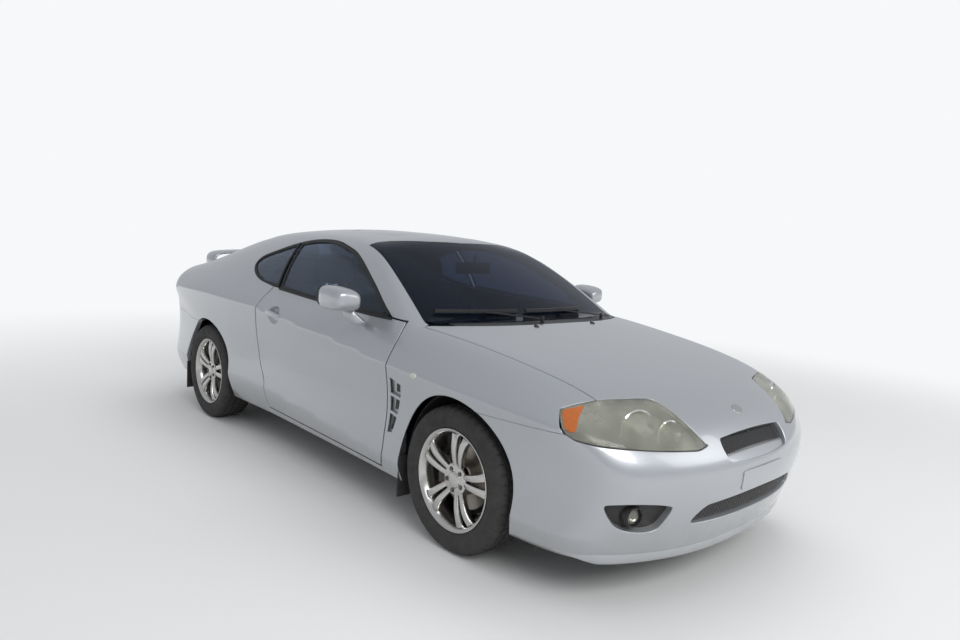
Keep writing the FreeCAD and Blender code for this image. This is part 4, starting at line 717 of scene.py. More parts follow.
def shade(name, colour, rough=0.5, metal=0.0, coat=0.0, vary=0.1, grain=60.0, bump=0.0, bump_grain=300.0,
          dirt=0.0, dirt_colour=(0.17, 0.14, 0.11), dirt_top=0.45, stretch=(1, 1, 1), see=0.0, ior=1.5,
          flake=0.0, sheen=0.0, rough_vary=0.15, haze=0.0):
    """A procedural finish: uneven colour and gloss, fine relief, and road dirt towards the ground."""
    m = bpy.data.materials.new(name)
    m.use_nodes = True
    t = m.node_tree
    n, link = t.nodes, t.links.new
    b = n["Principled BSDF"]
    at = n.new("ShaderNodeTexCoord").outputs["Object"]
    if tuple(stretch) != (1, 1, 1):
        turn = n.new("ShaderNodeMapping")
        turn.inputs["Scale"].default_value = stretch
        link(at, turn.inputs["Vector"])
        at = turn.outputs["Vector"]

    def noise(scale, detail=4.0, roughness=0.6):
        made = n.new("ShaderNodeTexNoise")
        made.inputs["Scale"].default_value = scale
        made.inputs["Detail"].default_value = detail
        made.inputs["Roughness"].default_value = roughness
        link(at, made.inputs["Vector"])
        return made.outputs["Fac"]

    def ramp(value, low, high, to_low=0.0, to_high=1.0):
        made = n.new("ShaderNodeMapRange")
        made.inputs["From Min"].default_value = low
        made.inputs["From Max"].default_value = high
        made.inputs["To Min"].default_value = to_low
        made.inputs["To Max"].default_value = to_high
        link(value, made.inputs["Value"])
        return made.outputs["Result"]

    def maths(kind, a, c):
        made = n.new("ShaderNodeMath")
        made.operation = kind
        made.use_clamp = True
        for socket, value in zip(made.inputs, (a, c)):
            if isinstance(value, (int, float)):
                socket.default_value = value
            else:
                link(value, socket)
        return made.outputs["Value"]

    def mix(factor, a, c):
        made = n.new("ShaderNodeMix")
        made.data_type = "RGBA"
        link(factor, made.inputs[0])
        for socket, value in ((made.inputs[6], a), (made.inputs[7], c)):
            if isinstance(value, (tuple, list)):
                socket.default_value = (*value[:3], 1)
            else:
                link(value, socket)
        return made.outputs[2]

    dark = tuple(c * (1 - vary) for c in colour)
    light = tuple(min(1, c * (1 + vary)) for c in colour)
    tone = mix(ramp(noise(grain), 0.35, 0.65), dark, light)
    gloss = ramp(noise(grain * 0.37, 5.0), 0.3, 0.7, rough * (1 - rough_vary),
                 min(1, rough * (1 + rough_vary)))
    if flake:
        cells = n.new("ShaderNodeTexVoronoi")
        cells.inputs["Scale"].default_value = 2400.0
        link(at, cells.inputs["Vector"])
        tone = mix(maths("MULTIPLY", ramp(cells.outputs["Distance"], 0.6, 0.0), flake), tone,
                   tuple(min(1, c * 1.5) for c in colour))
    if dirt:
        height = n.new("ShaderNodeSeparateXYZ")
        link(n.new("ShaderNodeTexCoord").outputs["Object"], height.inputs[0])
        low = ramp(height.outputs["Z"], dirt_top, 0.12)
        patches = ramp(noise(9.0, 8.0, 0.7), 0.3, 0.75)
        soil = maths("MULTIPLY", maths("MULTIPLY", low, patches), dirt)
        tone = mix(soil, tone, dirt_colour)
        rougher = n.new("ShaderNodeMix")
        link(soil, rougher.inputs[0])
        link(gloss, rougher.inputs[2])
        rougher.inputs[3].default_value = 0.85
        gloss = rougher.outputs[0]
    link(tone, b.inputs["Base Color"])
    link(gloss, b.inputs["Roughness"])
    if bump:
        relief = n.new("ShaderNodeBump")
        relief.inputs["Strength"].default_value = bump
        relief.inputs["Distance"].default_value = 0.001
        link(noise(bump_grain, 6.0), relief.inputs["Height"])
        link(relief.outputs["Normal"], b.inputs["Normal"])
    b.inputs["Metallic"].default_value = metal
    b.inputs["Coat Weight"].default_value = coat
    b.inputs["Coat Roughness"].default_value = 0.04
    b.inputs["IOR"].default_value = ior
    b.inputs["Transmission Weight"].default_value = see
    if haze:
        link(ramp(noise(6.0, 4.0, 0.5), 0.4, 0.65, see, see - haze), b.inputs["Transmission Weight"])
    if sheen:
        b.inputs["Sheen Weight"].default_value = sheen
    m.diffuse_color = (*colour, 1)
    return m


SHADES = {
    "paint": dict(colour=(0.42, 0.435, 0.455), rough=0.34, metal=0.62, coat=1.0, vary=0.02, grain=900,
                  flake=0.25, dirt=0.5, dirt_colour=(0.33, 0.31, 0.28), dirt_top=0.42, bump=0.02,
                  bump_grain=1200),
    "inside_paint": dict(colour=(0.11, 0.11, 0.115), rough=0.5, metal=0.3, vary=0.1, grain=60, bump=0.05),
    "black_trim": dict(colour=(0.012, 0.012, 0.013), rough=0.42, vary=0.2, grain=120, bump=0.12,
                       bump_grain=1600, dirt=0.35, dirt_top=0.5),
    "seal": dict(colour=(0.010, 0.010, 0.011), rough=0.6, vary=0.2, grain=90, bump=0.08, bump_grain=900),
    # glass: its deep blue is partly the glass's tint, partly painted reflection of a blue sky and painted
    # shade of the cabin behind
    "glass": dict(colour=(0.05, 0.072, 0.125), rough=0.02, see=0.93, ior=1.18, vary=0.01, grain=4,
                  rough_vary=0.5),
    # side glass: lighter and bluer than the windscreen, as painted light from the far side and painted sky
    # reflection
    "side_glass": dict(colour=(0.19, 0.25, 0.34), rough=0.02, see=0.93, ior=1.25, vary=0.01, grain=4,
                       rough_vary=0.5),
    "dark_glass": dict(colour=(0.012, 0.014, 0.016), rough=0.04, coat=1.0, vary=0.1, grain=6),
    "lens": dict(colour=(0.60, 0.60, 0.52), rough=0.16, see=0.82, ior=1.35, vary=0.06, grain=12, bump=0.03,
                 bump_grain=600, rough_vary=0.6, haze=0.16),
    "reflector": dict(colour=(0.80, 0.80, 0.78), rough=0.18, metal=1.0, vary=0.05, grain=40),
    "amber": dict(colour=(0.60, 0.16, 0.03), rough=0.2, see=0.25, vary=0.08, grain=80, bump=0.2,
                  bump_grain=400),
    "red_lens": dict(colour=(0.42, 0.015, 0.012), rough=0.12, see=0.15, coat=0.6, vary=0.08, grain=50,
                     bump=0.1, bump_grain=500),
    "alloy": dict(colour=(0.56, 0.55, 0.53), rough=0.24, metal=1.0, coat=0.3, vary=0.05, grain=400, bump=0.03,
                  bump_grain=1500),
    "tyre": dict(colour=(0.028, 0.027, 0.026), rough=0.8, vary=0.25, grain=30, bump=0.25, bump_grain=700,
                 dirt=0.35, dirt_colour=(0.085, 0.078, 0.07), dirt_top=0.75),
    "steel": dict(colour=(0.05, 0.05, 0.052), rough=0.55, metal=0.4, vary=0.3, grain=25, bump=0.15, dirt=0.4,
                  dirt_top=0.5),
    "disc": dict(colour=(0.34, 0.31, 0.28), rough=0.35, metal=1.0, vary=0.12, grain=300, bump=0.05,
                 stretch=(1, 6, 1)),
    "iron": dict(colour=(0.17, 0.15, 0.135), rough=0.65, metal=0.5, vary=0.3, grain=45, bump=0.3,
                 bump_grain=500),
    "exhaust": dict(colour=(0.30, 0.27, 0.24), rough=0.42, metal=1.0, vary=0.25, grain=18, bump=0.1),
    "liner": dict(colour=(0.022, 0.021, 0.020), rough=0.85, vary=0.3, grain=30, bump=0.3, bump_grain=400,
                  dirt=0.5, dirt_top=0.8, dirt_colour=(0.07, 0.06, 0.05)),
    "floor_pan": dict(colour=(0.10, 0.10, 0.105), rough=0.7, vary=0.2, grain=14, bump=0.2, dirt=0.5),
    "cloth": dict(colour=(0.055, 0.056, 0.062), rough=0.9, vary=0.3, grain=700, bump=0.5, bump_grain=1400,
                  sheen=0.3),
    "plastic": dict(colour=(0.035, 0.036, 0.040), rough=0.55, vary=0.12, grain=60, bump=0.25,
                    bump_grain=2200),
    "leather": dict(colour=(0.022, 0.022, 0.024), rough=0.42, vary=0.2, grain=90, bump=0.3, bump_grain=1300),
    "mesh": dict(colour=(0.060, 0.060, 0.062), rough=0.5, vary=0.25, grain=200, bump=0.1, dirt=0.3,
                 dirt_top=0.6),
    "lamp_tray": dict(colour=(0.16, 0.16, 0.155), rough=0.35, metal=0.6, vary=0.15, grain=40, bump=0.05),
    "marker": dict(colour=(0.80, 0.79, 0.70), rough=0.15, see=0.3, vary=0.05, grain=80, bump=0.2,
                   bump_grain=500),
    "mirror": dict(colour=(0.85, 0.87, 0.88), rough=0.02, metal=1.0, vary=0.01, grain=5),
}
FINISHES = {}


def finish(name):
    if name not in FINISHES:
        values = dict(SHADES[name])
        colours = bpy.context.scene.coupe_colours
        if name in CoupeColours.__annotations__:
            values["colour"] = tuple(getattr(colours, name))
        FINISHES[name] = shade(name, **values)
    return FINISHES[name]


def dress(node, name):
    """A finish onto a CAD node's own slots, leaving its mesh as it is."""
    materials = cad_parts[node].data.materials
    if not materials:
        materials.append(None)
    for i in range(len(materials)):
        materials[i] = finish(name)


def set_in(obj, carrier, slot, *nodes):
    """A piece that rides on a body and stands for CAD nodes where some are named; the slot is not used."""
    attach(obj, carrier)
    if nodes:
        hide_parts(*nodes)


def make_sides():
    both = "paint inside_paint"
    pair("side_panel", "car", "paint", ["side_*"], flank, side_outline(), both, [flank.find(aperture())], 20,
         inner=inner_wall, radius=2.5)
    pair("door_panel", "door_*_body", "paint", ["door_*"], flank, flank.find(door_outline()), "paint plastic",
         [flank.find(handle_line())], 20, inner=inner_door, radius=2.5)
    pair("wing_panel", "car", "paint", ["wing_*"], wing_skin, wing_outline(), both,
         [wing_skin.find(vent_line())], 18, depth=5, radius=2.5)


def make_tops():
    both = "paint inside_paint"
    made = panel("bonnet_panel", bonnet_skin, grown(bonnet_outline(), -1.5), both, (), 24, depth=18,
                 radius=2.5)
    set_in(made, "bonnet_body", "paint", "bonnet")
    # a black ring sunk under the bonnet's shut line: painted shade that darkens the gap
    made = panel("bonnet_seal", bonnet_skin, grown(bonnet_outline(), 7), "seal",
                 [grown(bonnet_outline(), -5)], 40, depth=3, radius=1, sink=20)
    set_in(made, "car", "trim")
    sunroof = both_sides(flowing(SUNROOF, (0, 5), closed=False, step=14))
    made = panel("roof_panel", roof_skin, roof_outline(), both, [grown(sunroof, 3)], 26, depth=22, radius=1.5)
    set_in(made, "car", "paint", "roof")
    made = panel("sunroof_pane", roof_skin, sunroof, "dark_glass", (), 26, depth=5, radius=1.5, sink=1.5)
    set_in(made, "car", "dark_glass", "sunroof_glass")
    made = panel("gate_panel", gate_skin, gate_outline(), both, [glass_hole()], 24, depth=26, radius=2.5)
    set_in(made, "tailgate_body", "paint", "tailgate")


def make_bumpers():
    holes = [on_nose(GRILLE), on_nose(INTAKE), on_nose(FOG), on_nose(FOG, hand=-1)]
    for name, skin, outline, openings, spacing in (("front", nose_skin, front_outline(), holes, 20),
                                                   ("rear", stern_skin, rear_outline(), (), 22)):
        made = panel(name + "_bumper_skin", skin, outline, "paint black_trim", openings, spacing, depth=30,
                     radius=4)
        set_in(made, "car", "paint", name + "_bumper")


def ellipse(middle, wide, high, count):
    """A closed oval outline from its half width and half height."""
    a = np.linspace(0, 2 * np.pi, count, endpoint=False)
    return stack(middle[0] + wide * np.cos(a), middle[1] + high * np.sin(a))


def handle_line():
    return ellipse(HANDLE, 62, 51, 40)


def vent_line():
    return flowing(VENT, (0, 1, 2, 3), 10)


def make_glass():
    # the windscreen and rear window use the glass finish, whose deep blue holds painted sky reflection and
    # painted cabin shade
    made = panel("windscreen_pane", screen_skin, screen_outline(), "glass", (), 24, depth=5, radius=1.5,
                 sink=2)
    set_in(made, "car", "glass", "windscreen")
    made = panel("rear_window", gate_skin, glass_hole(3), "glass", (), 24, depth=5, radius=1.5, sink=2)
    set_in(made, "tailgate_body", "glass", "rear_glass")
    # side panes, each in a black surround that stands nearer the skin than the glass
    panes = (("door", "door_glass_*", "door_*_body", flowing(PANE, (0, 3, 6), 14), -16),
             ("quarter", "quarter_glass", "car", flowing(QUARTER, (0, 7), 14), -13))
    # the side panes' lighter, bluer finish is painted light from the far side and painted sky reflection
    for word, node, carrier, loop, _ in panes:
        pair(word + "_window", carrier, "glass", [node], flank, flank.find(grown(loop, -3)), "side_glass",
             (), 22, depth=4, radius=1.5, sink=9)
    for word, _, carrier, loop, width in panes:
        pair(word + "_frame", carrier, "trim", (), flank, flank.find(grown(loop, -1)), "seal",
             [flank.find(grown(loop, width))], 30, depth=5, radius=1.5, sink=4)
    # printed black bands round the windscreen, wider at its foot, and the rear window
    band = screen_outline()
    inner = grown(band, -26)
    x = inner[:, 0]
    inner = stack(np.where(x > 600, x - 34 * (x - 600) / 400, x), inner[:, 1])
    made = panel("windscreen_band", screen_skin, grown(band, -2), "seal", [inner], 40, depth=2, radius=0.5,
                 sink=7.5)
    set_in(made, "car", "trim")
    band = glass_hole(6)
    made = panel("rear_window_band", gate_skin, band, "seal", [grown(band, -30)], 40, depth=2, radius=0.5,
                 sink=7.5)
    set_in(made, "tailgate_body", "trim")


class Form:
    """Collects rings, sweeps and loose faces into one mesh, in millimetres."""

    def __init__(self):
        self.v, self.f, self.s = [], [], []

    def add(self, vertices, faces, slot=0):
        start = len(self.v)
        self.v += [tuple(float(c) for c in q) for q in vertices]
        self.f += [tuple(start + int(i) for i in f) for f in faces]
        self.s += [slot] * len(faces)

    def grid(self, rows, slot=0, around=False, ends=False, loop=False):
        """Quads through rows of equal length.

        Around closes each row, and loop joins the last row to the first.
        """
        rows = [np.asarray(r, float) for r in rows]
        n, m = len(rows), len(rows[0])
        faces = []
        for i in range(n if loop else n - 1):
            for j in range(m if around else m - 1):
                a, b, c, d = i, (i + 1) % n, j, (j + 1) % m
                faces.append((a * m + c, a * m + d, b * m + d, b * m + c))
        if ends:
            faces += [tuple(range(m))[::-1], tuple((n - 1) * m + j for j in range(m))]
        self.add(np.concatenate(rows), faces, slot)

    def lathe(self, profile, centre, axis, slot=0, count=64, closed=True):
        """A profile of (along, radius) turned round an axis; closed joins its ends."""
        axis = np.array(axis, float) / np.linalg.norm(axis)
        side = np.cross(axis, (0, 0, 1) if abs(axis[2]) < 0.9 else (1, 0, 0))
        side /= np.linalg.norm(side)
        other = np.cross(axis, side)
        rows = []
        for k in range(count):
            a = 2 * math.pi * k / count
            out = side * math.cos(a) + other * math.sin(a)
            rows.append([np.array(centre) + axis * y + out * r for y, r in profile])
        self.grid(rows, slot, around=closed, loop=True)

    def sweep(self, path, section, slot=0, up=(0, 0, 1), scale=None):
        """A closed section (side, up) carried along a path, capped at both ends."""
        path = np.asarray(path, float)
        along = np.gradient(path, axis=0)
        along /= np.linalg.norm(along, axis=1, keepdims=True)
        rows = []
        for i, (q, t) in enumerate(zip(path, along)):
            side = np.cross(t, up)
            side /= np.linalg.norm(side)
            over = np.cross(side, t)
            k = scale[i] if scale is not None else 1.0
            rows.append([q + side * a * k + over * b * k for a, b in section])
        self.grid(rows, slot, around=True, ends=True)

    def block(self, low, high, slot=0):
        (a, b, c), (d, e, f) = low, high
        self.add([(a, b, c), (d, b, c), (d, e, c), (a, e, c), (a, b, f), (d, b, f), (d, e, f), (a, e, f)],
                 [(0, 3, 2, 1), (4, 5, 6, 7), (0, 1, 5, 4), (1, 2, 6, 5), (2, 3, 7, 6), (3, 0, 4, 7)], slot)

    def made(self, name, *finishes, levels=0, flip=False, sharp=35):
        """The object, mirrored to the left with flip; levels subdivide it, else edges over sharp stay."""
        v = np.array(self.v) * MM
        faces = self.f
        if flip:
            v = v * (1, -1, 1)
            faces = [f[::-1] for f in faces]
        obj = object_of(name, v, faces, [finish(n) for n in finishes], self.s)
        bm = bmesh.new()
        bm.from_mesh(obj.data)
        bmesh.ops.remove_doubles(bm, verts=bm.verts, dist=1e-5)
        bmesh.ops.recalc_face_normals(bm, faces=bm.faces)
        bm.to_mesh(obj.data)
        bm.free()
        if levels:
            m = obj.modifiers.new("smooth", "SUBSURF")
            m.levels = m.render_levels = levels
        else:
            obj.data.set_sharp_from_angle(angle=math.radians(sharp))
        return obj


def oval(wide, high, count=16, square=2.0):
    """A closed section, an ellipse where square is 2 and nearer a box above that."""
    a = np.linspace(0, 2 * np.pi, count, endpoint=False)
    c, d = np.cos(a), np.sin(a)
    across, up = [np.sign(v) * np.abs(v) ** (2 / square) for v in (c, d)]
    return stack(across * wide / 2, up * high / 2)


def make_lamps():
    for word, outline, name, holes, spacing, depth, radius, sink, slot, nodes in (
            ("lens", lamp_uv(-2), "lens", (), 12, 3, 2.5, 1, "lamp", ["headlamps"]),
            ("seal", lamp_uv(-0.5), "seal", [lamp_uv(-9)], 40, 6, 1.5, 5, "trim", ()),
            ("tray", lamp_uv(-8), "lamp_tray", (), 16, 4, 1.5, 58, "trim", ())):
        pair("headlamp_" + word, "car", slot, nodes, lamp_skin, outline, name, holes, spacing, depth=depth,
             radius=radius, sink=sink)
    # two bowls with their bulbs in the tray
    spots = lamp_skin.spot(lamp_skin.find(np.array([(1985, -560, 690), (2040, -440, 665)], float)))
    turns = normal(spots)
    ahead = np.array((0.93, -0.30, 0.05))
    ahead /= np.linalg.norm(ahead)
    for hand, flip in HANDS:
        form = Form()
        for spot, turn, radius, back in zip(spots, turns, (74, 50), (44, 36)):
            centre = spot - turn * back * 0.9 - ahead * 14
            profile = [(12, radius), (8, radius + 5), (-40, radius * 0.62), (-44, radius * 0.3), (-40, 8),
                       (-34, 8), (-34, radius * 0.3), (-26, radius * 0.62), (2, radius * 0.92)]
            form.lathe(profile, centre, ahead, 0, 48)
            form.lathe([(-36, 0.1), (-36, 9), (-8, 9), (-2, 5), (0, 0.1)], centre, ahead, 1, 20, closed=False)
        set_in(form.made("headlamp_bowls_" + hand, "reflector", "lens", flip=flip), "car", "lamp")
    # amber turn lamp in the lens's outer corner
    patch = np.array([(1772, -768, 724), (1796, -722, 738), (1816, -690, 742), (1836, -735, 700),
                      (1862, -786, 660), (1836, -812, 660), (1804, -804, 690)], float)
    loop = grown(flowing(lamp_skin.find(patch), (), 8.0), -6)
    pair("turn_lamp", "car", "lamp", (), lamp_skin, loop, "amber", (), 10, depth=2, radius=0.8, sink=-0.4)
    # tail lamp, round the corner from the side
    line = stern_skin.at_x(runs([(-2070, 852), (-1962, 848), (-1928, 760), (-1932, 692), (-2120, 692)], 10))
    low = stern_skin.at_y(np.array([(-690.0, 692), (-640, 694), (-600, 720), (-612, 780), (-640, 846)]))
    pair("tail_lens", "car", "tail_lamp", ["tail_lamps"], stern_skin, np.concatenate([line, low]),
         "red_lens", (), 14, depth=20, radius=3, sink=1)


def tyre_profile():
    """(across, radius) points round a tyre: sidewall, shoulder, three ribs and the bead."""
    side = [(84.5, 220), (92, 222), (98, 232), (101.5, 250), (102, 268), (99.5, 286), (94, 298), (88, 304)]
    ribs = [(80, 309.5), (62, 312), (60, 305), (54, 305), (52, 312.6), (26, 313), (24, 306), (18, 306),
            (16, 313)]
    half = side + ribs
    profile = half + [(-y, r) for y, r in half[::-1]] + [(-84, 205), (-60, 200), (60, 200), (84, 205)]
    fine = []
    for (ya, ra), (yb, rb) in zip(profile, profile[1:] + profile[:1]):
        parts = 2 if ra > 300 and rb > 300 and abs(ya - yb) > 12 else 1
        fine += [(ya + (yb - ya) * k / parts, ra + (rb - ra) * k / parts) for k in range(parts)]
    return fine


def tyre_form(x, cuts):
    """A tyre with cuts across every sixth step of its tread, which are staggered from rib to rib."""
    profile, count = tyre_profile(), 288
    rows = []
    for k in range(count):
        a = 2 * math.pi * k / count
        row = []
        for y, r in profile:
            stagger = 2 if abs(y) > 55 else 0 if abs(y) > 20 else 4
            if r > 303 and (k + stagger) % 6 == 0:
                r -= cuts
            row.append((x + r * math.cos(a), TRACK + y, WHEEL_Z + r * math.sin(a)))
        rows.append(row)
    form = Form()
    form.grid(rows, 0, around=True, loop=True)
    return form


def spoke_rows(x, pair_turn, lean):
    """Sections along one spoke of a pair, from the hub out to the rim."""
    t = np.linspace(0, 1, 15)
    radius = 52 + 146 * t
    turn = math.radians(pair_turn) + lean * (0.25 - 0.24 * t + 0.17 * t ** 2)
    height = 56 + 24 * np.sin(np.pi * np.minimum(t * 0.62, 1)) - 10 * t ** 3
    path = stack(x + radius * np.cos(turn), TRACK + height, WHEEL_Z + radius * np.sin(turn))
    wide = 25 + 13 * t + 40 * np.clip(t - 0.88, 0, 1)
    section = [(-0.5, 4), (-0.40, 11), (-0.12, 13.5), (0.12, 13.5), (0.40, 11), (0.5, 4), (0.42, -14),
               (-0.42, -14)]
    rows = []
    for q, a, w in zip(path, turn, wide):
        across = np.array((-math.sin(a), 0, math.cos(a)))
        rows.append([q + across * u * w + np.array((0, v, 0)) for u, v in section])
    return rows


def rim_form(x):
    """An alloy wheel: barrel, hub with a bare cap, five nuts in their wells and five pairs of spokes."""
    centre, axis, first = (x, TRACK, WHEEL_Z), (0, 1, 0), 81
    barrel = [(-93, 218), (-86, 217.5), (-84, 199), (60, 194), (76, 200), (84, 206), (86, 217.5), (93, 218),
              (94.5, 214), (91, 208), (84, 203), (74, 196.5), (56, 190), (-70, 190), (-84, 192), (-93, 212)]
    hub = [(44, 22), (57, 22), (58, 64), (69, 68), (73, 58), (74, 36), (77, 34), (80, 30), (81, 12),
           (81, 0.1)]
    form = Form()
    form.lathe(barrel, centre, axis, 0, 96)
    form.lathe(hub, centre, axis, 0, 60, closed=False)
    form.lathe([(44, 64), (44, 20.5), (10, 20.5)], centre, axis, 0, 60, closed=False)
    for k in range(5):
        a = math.radians(first + 36 + 72 * k)
        nut = (x + 47 * math.cos(a), TRACK, WHEEL_Z + 47 * math.sin(a))
        form.lathe([(70, 0.1), (73.2, 6), (73.4, 9.5), (74.6, 10.5), (75.5, 9.5)], nut, axis, 2, 18,
                   closed=False)
        form.lathe([(66, 7), (80, 6.5), (82, 4), (82.5, 0.1)], nut, axis, 1, 6, closed=False)
    for k in range(5):
        for lean in (-1, 1):
            form.grid(spoke_rows(x, first + 72 * k, lean), 0, around=True, ends=True)
    return form


def make_wheels():
    """The forms have their outer side towards +Y; the right wheels are mirrored."""
    disc = [(4, 76), (4, 139), (-4, 140), (-4, 132), (-12, 132), (-12, 140), (-20, 139), (-20, 76), (-20, 30),
            (40, 30), (42, 68), (38, 74)]
    for word, x in zip(("front", "rear"), WHEEL_X):
        for hand in ("right", "left"):
            end, flip = "_%s_%s" % (word, hand), hand == "right"
            carrier = "wheel" + end
            form = tyre_form(x, bpy.context.scene.coupe_sizes.tread_depth)
            made = form.made("tyre_rubber" + end, "tyre", flip=flip, sharp=40)
            set_in(made, carrier, "tyre", "tyre" + end)
            made = rim_form(x).made("alloy" + end, "alloy", "iron", "black_trim", flip=flip, sharp=42)
            set_in(made, carrier, "alloy", "rim" + end)
            form = Form()
            form.lathe(disc, (x, TRACK, WHEEL_Z), (0, 1, 0), 0, 72)
            set_in(form.made("brake_disc" + end, "disc", flip=flip), carrier, "iron")


MESH_SINK = 17


def lattice(name, outline, pitch, wire):
    """Diamond mesh in an opening: a Geometry Nodes grid of rods, bent onto the bumper's line."""
    group = bpy.data.node_groups.new(name + "_nodes", "GeometryNodeTree")
    face = group.interface
    face.new_socket("Lines", in_out="INPUT", socket_type="NodeSocketGeometry")
    face.new_socket("Wire", in_out="INPUT", socket_type="NodeSocketFloat").default_value = wire
    face.new_socket("Finish", in_out="INPUT", socket_type="NodeSocketMaterial")
    face.new_socket("Mesh", in_out="OUTPUT", socket_type="NodeSocketGeometry")
    n, link = group.nodes, group.links.new
    start, end = n.new("NodeGroupInput"), n.new("NodeGroupOutput")
    to_curve = n.new("GeometryNodeMeshToCurve")
    ring = n.new("GeometryNodeCurvePrimitiveCircle")
    ring.inputs["Resolution"].default_value = 6
    tube = n.new("GeometryNodeCurveToMesh")
    real = n.new("GeometryNodeRealizeInstances")
    paint = n.new("GeometryNodeSetMaterial")
    tube.inputs["Fill Caps"].default_value = True
    link(start.outputs["Lines"], to_curve.inputs[0])
    link(to_curve.outputs[0], tube.inputs["Curve"])
    link(start.outputs["Wire"], ring.inputs["Radius"])
    link(ring.outputs["Curve"], tube.inputs["Profile Curve"])
    link(tube.outputs[0], real.inputs[0])
    link(real.outputs[0], paint.inputs["Geometry"])
    link(start.outputs["Finish"], paint.inputs["Material"])
    link(paint.outputs[0], end.inputs[0])
    loop = flowing(outline, (), 10)
    low, high = loop.min(0), loop.max(0)
    points, lines = [], []
    tall = high[1] - low[1]
    for lean in (-1, 1):
        y = low[0] - tall
        while y < high[0] + tall:
            a, b = np.array((y, low[1])), np.array((y + lean * tall * 1.15, high[1]))
            t = np.linspace(0, 1, 13)
            run = a + (b - a) * t[:, None]
            run = run[inside(run, [loop])]
            if len(run) > 1:
                first = len(points)
                points += list(run)
                lines += [(first + i, first + i + 1) for i in range(len(run) - 1)]
            y += pitch
    p = nose_skin.spot(nose_skin.at_y(np.array(points)))
    p = (p - normal(p) * MESH_SINK) * MM
    mesh = bpy.data.meshes.new(name + "_lines")
    mesh.from_pydata([tuple(q) for q in p], lines, [])
    source = bpy.data.objects.new(name + "_lines", mesh)
    bpy.context.collection.objects.link(source)
    weave = source.modifiers.new("weave", "NODES")
    weave.node_group = group
    for item in group.interface.items_tree:
        if item.in_out == "INPUT" and item.name == "Wire":
            weave[item.identifier] = wire
        if item.in_out == "INPUT" and item.name == "Finish":
            weave[item.identifier] = finish("mesh")
    depsgraph = bpy.context.evaluated_depsgraph_get()
    solid = bpy.data.meshes.new_from_object(source.evaluated_get(depsgraph))
    bpy.data.objects.remove(source)
    made = bpy.data.objects.new(name, solid)
    bpy.context.collection.objects.link(made)
    if not solid.materials:
        solid.materials.append(finish("mesh"))
    set_in(made, "car", "trim", "grilles")


def make_front():
    make_grilles()
    make_fog_lamps()
    make_nose()


def make_grilles():
    sizes = bpy.context.scene.coupe_sizes
    for name, line in (("upper_grille_mesh", GRILLE), ("lower_intake_mesh", INTAKE)):
        lattice(name, line, sizes.mesh_pitch, sizes.mesh_wire)
    for name, line in (("upper", GRILLE), ("lower", INTAKE)):
        made = panel(name + "_grille_back", nose_skin, on_nose(line, 8), "seal", (), 30, depth=3, radius=1,
                     sink=34)
        set_in(made, "car", "trim")


def make_fog_lamps():
    """A round lamp in a tube, on the back of each recess."""
    sink = 30
    for word, hand in (("right", 1), ("left", -1)):
        made = panel("fog_recess_" + word, nose_skin, on_nose(FOG, 6, hand), "black_trim", (), 22, depth=3,
                     radius=1, sink=sink)
        set_in(made, "car", "trim", "fog_lamps")
        centre = nose_skin.spot(nose_skin.at_y(np.array([(-652.0 * hand, 368.0)])))
        centre = (centre - normal(centre) * sink)[0]
        ahead = (0.96, -0.22 * hand, 0.0)
        form = Form()
        for slot, profile, count in ((0, [(-6, 42), (14, 40), (23, 36), (24, 33), (19, 32), (4, 30)], 40),
                                     (1, [(16, 0.1), (15, 14), (12, 26), (8, 31)], 40),
                                     (2, [(-4, 0.1), (-2, 16), (7, 30)], 32)):
            form.lathe(profile, centre, ahead, slot, count, closed=False)
        set_in(form.made("fog_lamp_" + word, "black_trim", "lens", "reflector"), "car", "lamp")


def make_nose():
    # body-coloured floor of the scoop under the upper mesh, and the lip along the lower edge
    half = 222
    ys = np.linspace(-half, half, 33)
    rows = []
    for t in np.linspace(0, 1, 9):
        z = 528 + 46 * t + 8 * t * (1 - (ys / half) ** 2)
        q = nose_skin.spot(nose_skin.at_y(stack(ys * (1 + 0.09 * t), z)))
        rows.append(q - normal(q) * (7 + 11 * t))
    back = [rows[-1] - np.array((2.0, 0, 3.0)), rows[0] - np.array((8.0, 0, 4.0))]
    form = Form()
    form.grid(rows + back)
    set_in(form.made("scoop_floor", "paint", sharp=60), "car", "paint")
    ys = np.concatenate([np.linspace(-800, -640, 12), np.linspace(-620, 620, 63), np.linspace(640, 800, 12)])
    q = nose_skin.spot(nose_skin.at_y(stack(ys, 196 + 14 * (np.abs(ys) / 800) ** 2)))
    fade = np.clip((812 - np.abs(ys)) / 90, 0.25, 1)
    form = Form()
    form.sweep(q + normal(q) * (-2 + 3 * fade[:, None]), oval(16, 46, 20, 2.2), 0, scale=fade)
    set_in(form.made("front_lip", "paint", sharp=60), "car", "paint")
    # raised blank pad for the number plate
    made = panel("plate_pad", nose_skin, nose_skin.at_y(round_box(158, 424, 160, 500)), "paint", (), 24,
                 depth=16, radius=2, sink=-5)
    set_in(made, "car", "paint")
    # bare oval on the bonnet's tip
    made = panel("bonnet_oval", bonnet_skin, ellipse((2058, 0), 19, 33, 40), "alloy", (), 10, depth=3,
                 radius=2, sink=-2)
    set_in(made, "bonnet_body", "trim")


def round_box(ya, za, yb, zb, r=10):
    """A symmetrical box in (y, z) with round corners, from half its width below and above."""
    middles = ((yb - r, zb - r), (-yb + r, zb - r), (-ya + r, za + r), (ya - r, za + r))
    made = [arc_points(middle, r, 90 * k, 90 * k + 90, 4) for k, middle in enumerate(middles)]
    return np.concatenate(made)[::-1]


def vent_edge(z, rear):
    """Where the vent's rear or front edge lies at a height, 2 mm beyond its outline."""
    return 786 + 24 * (z - 405) / 263 if rear else 828 + 77 * (z - 412) / 233


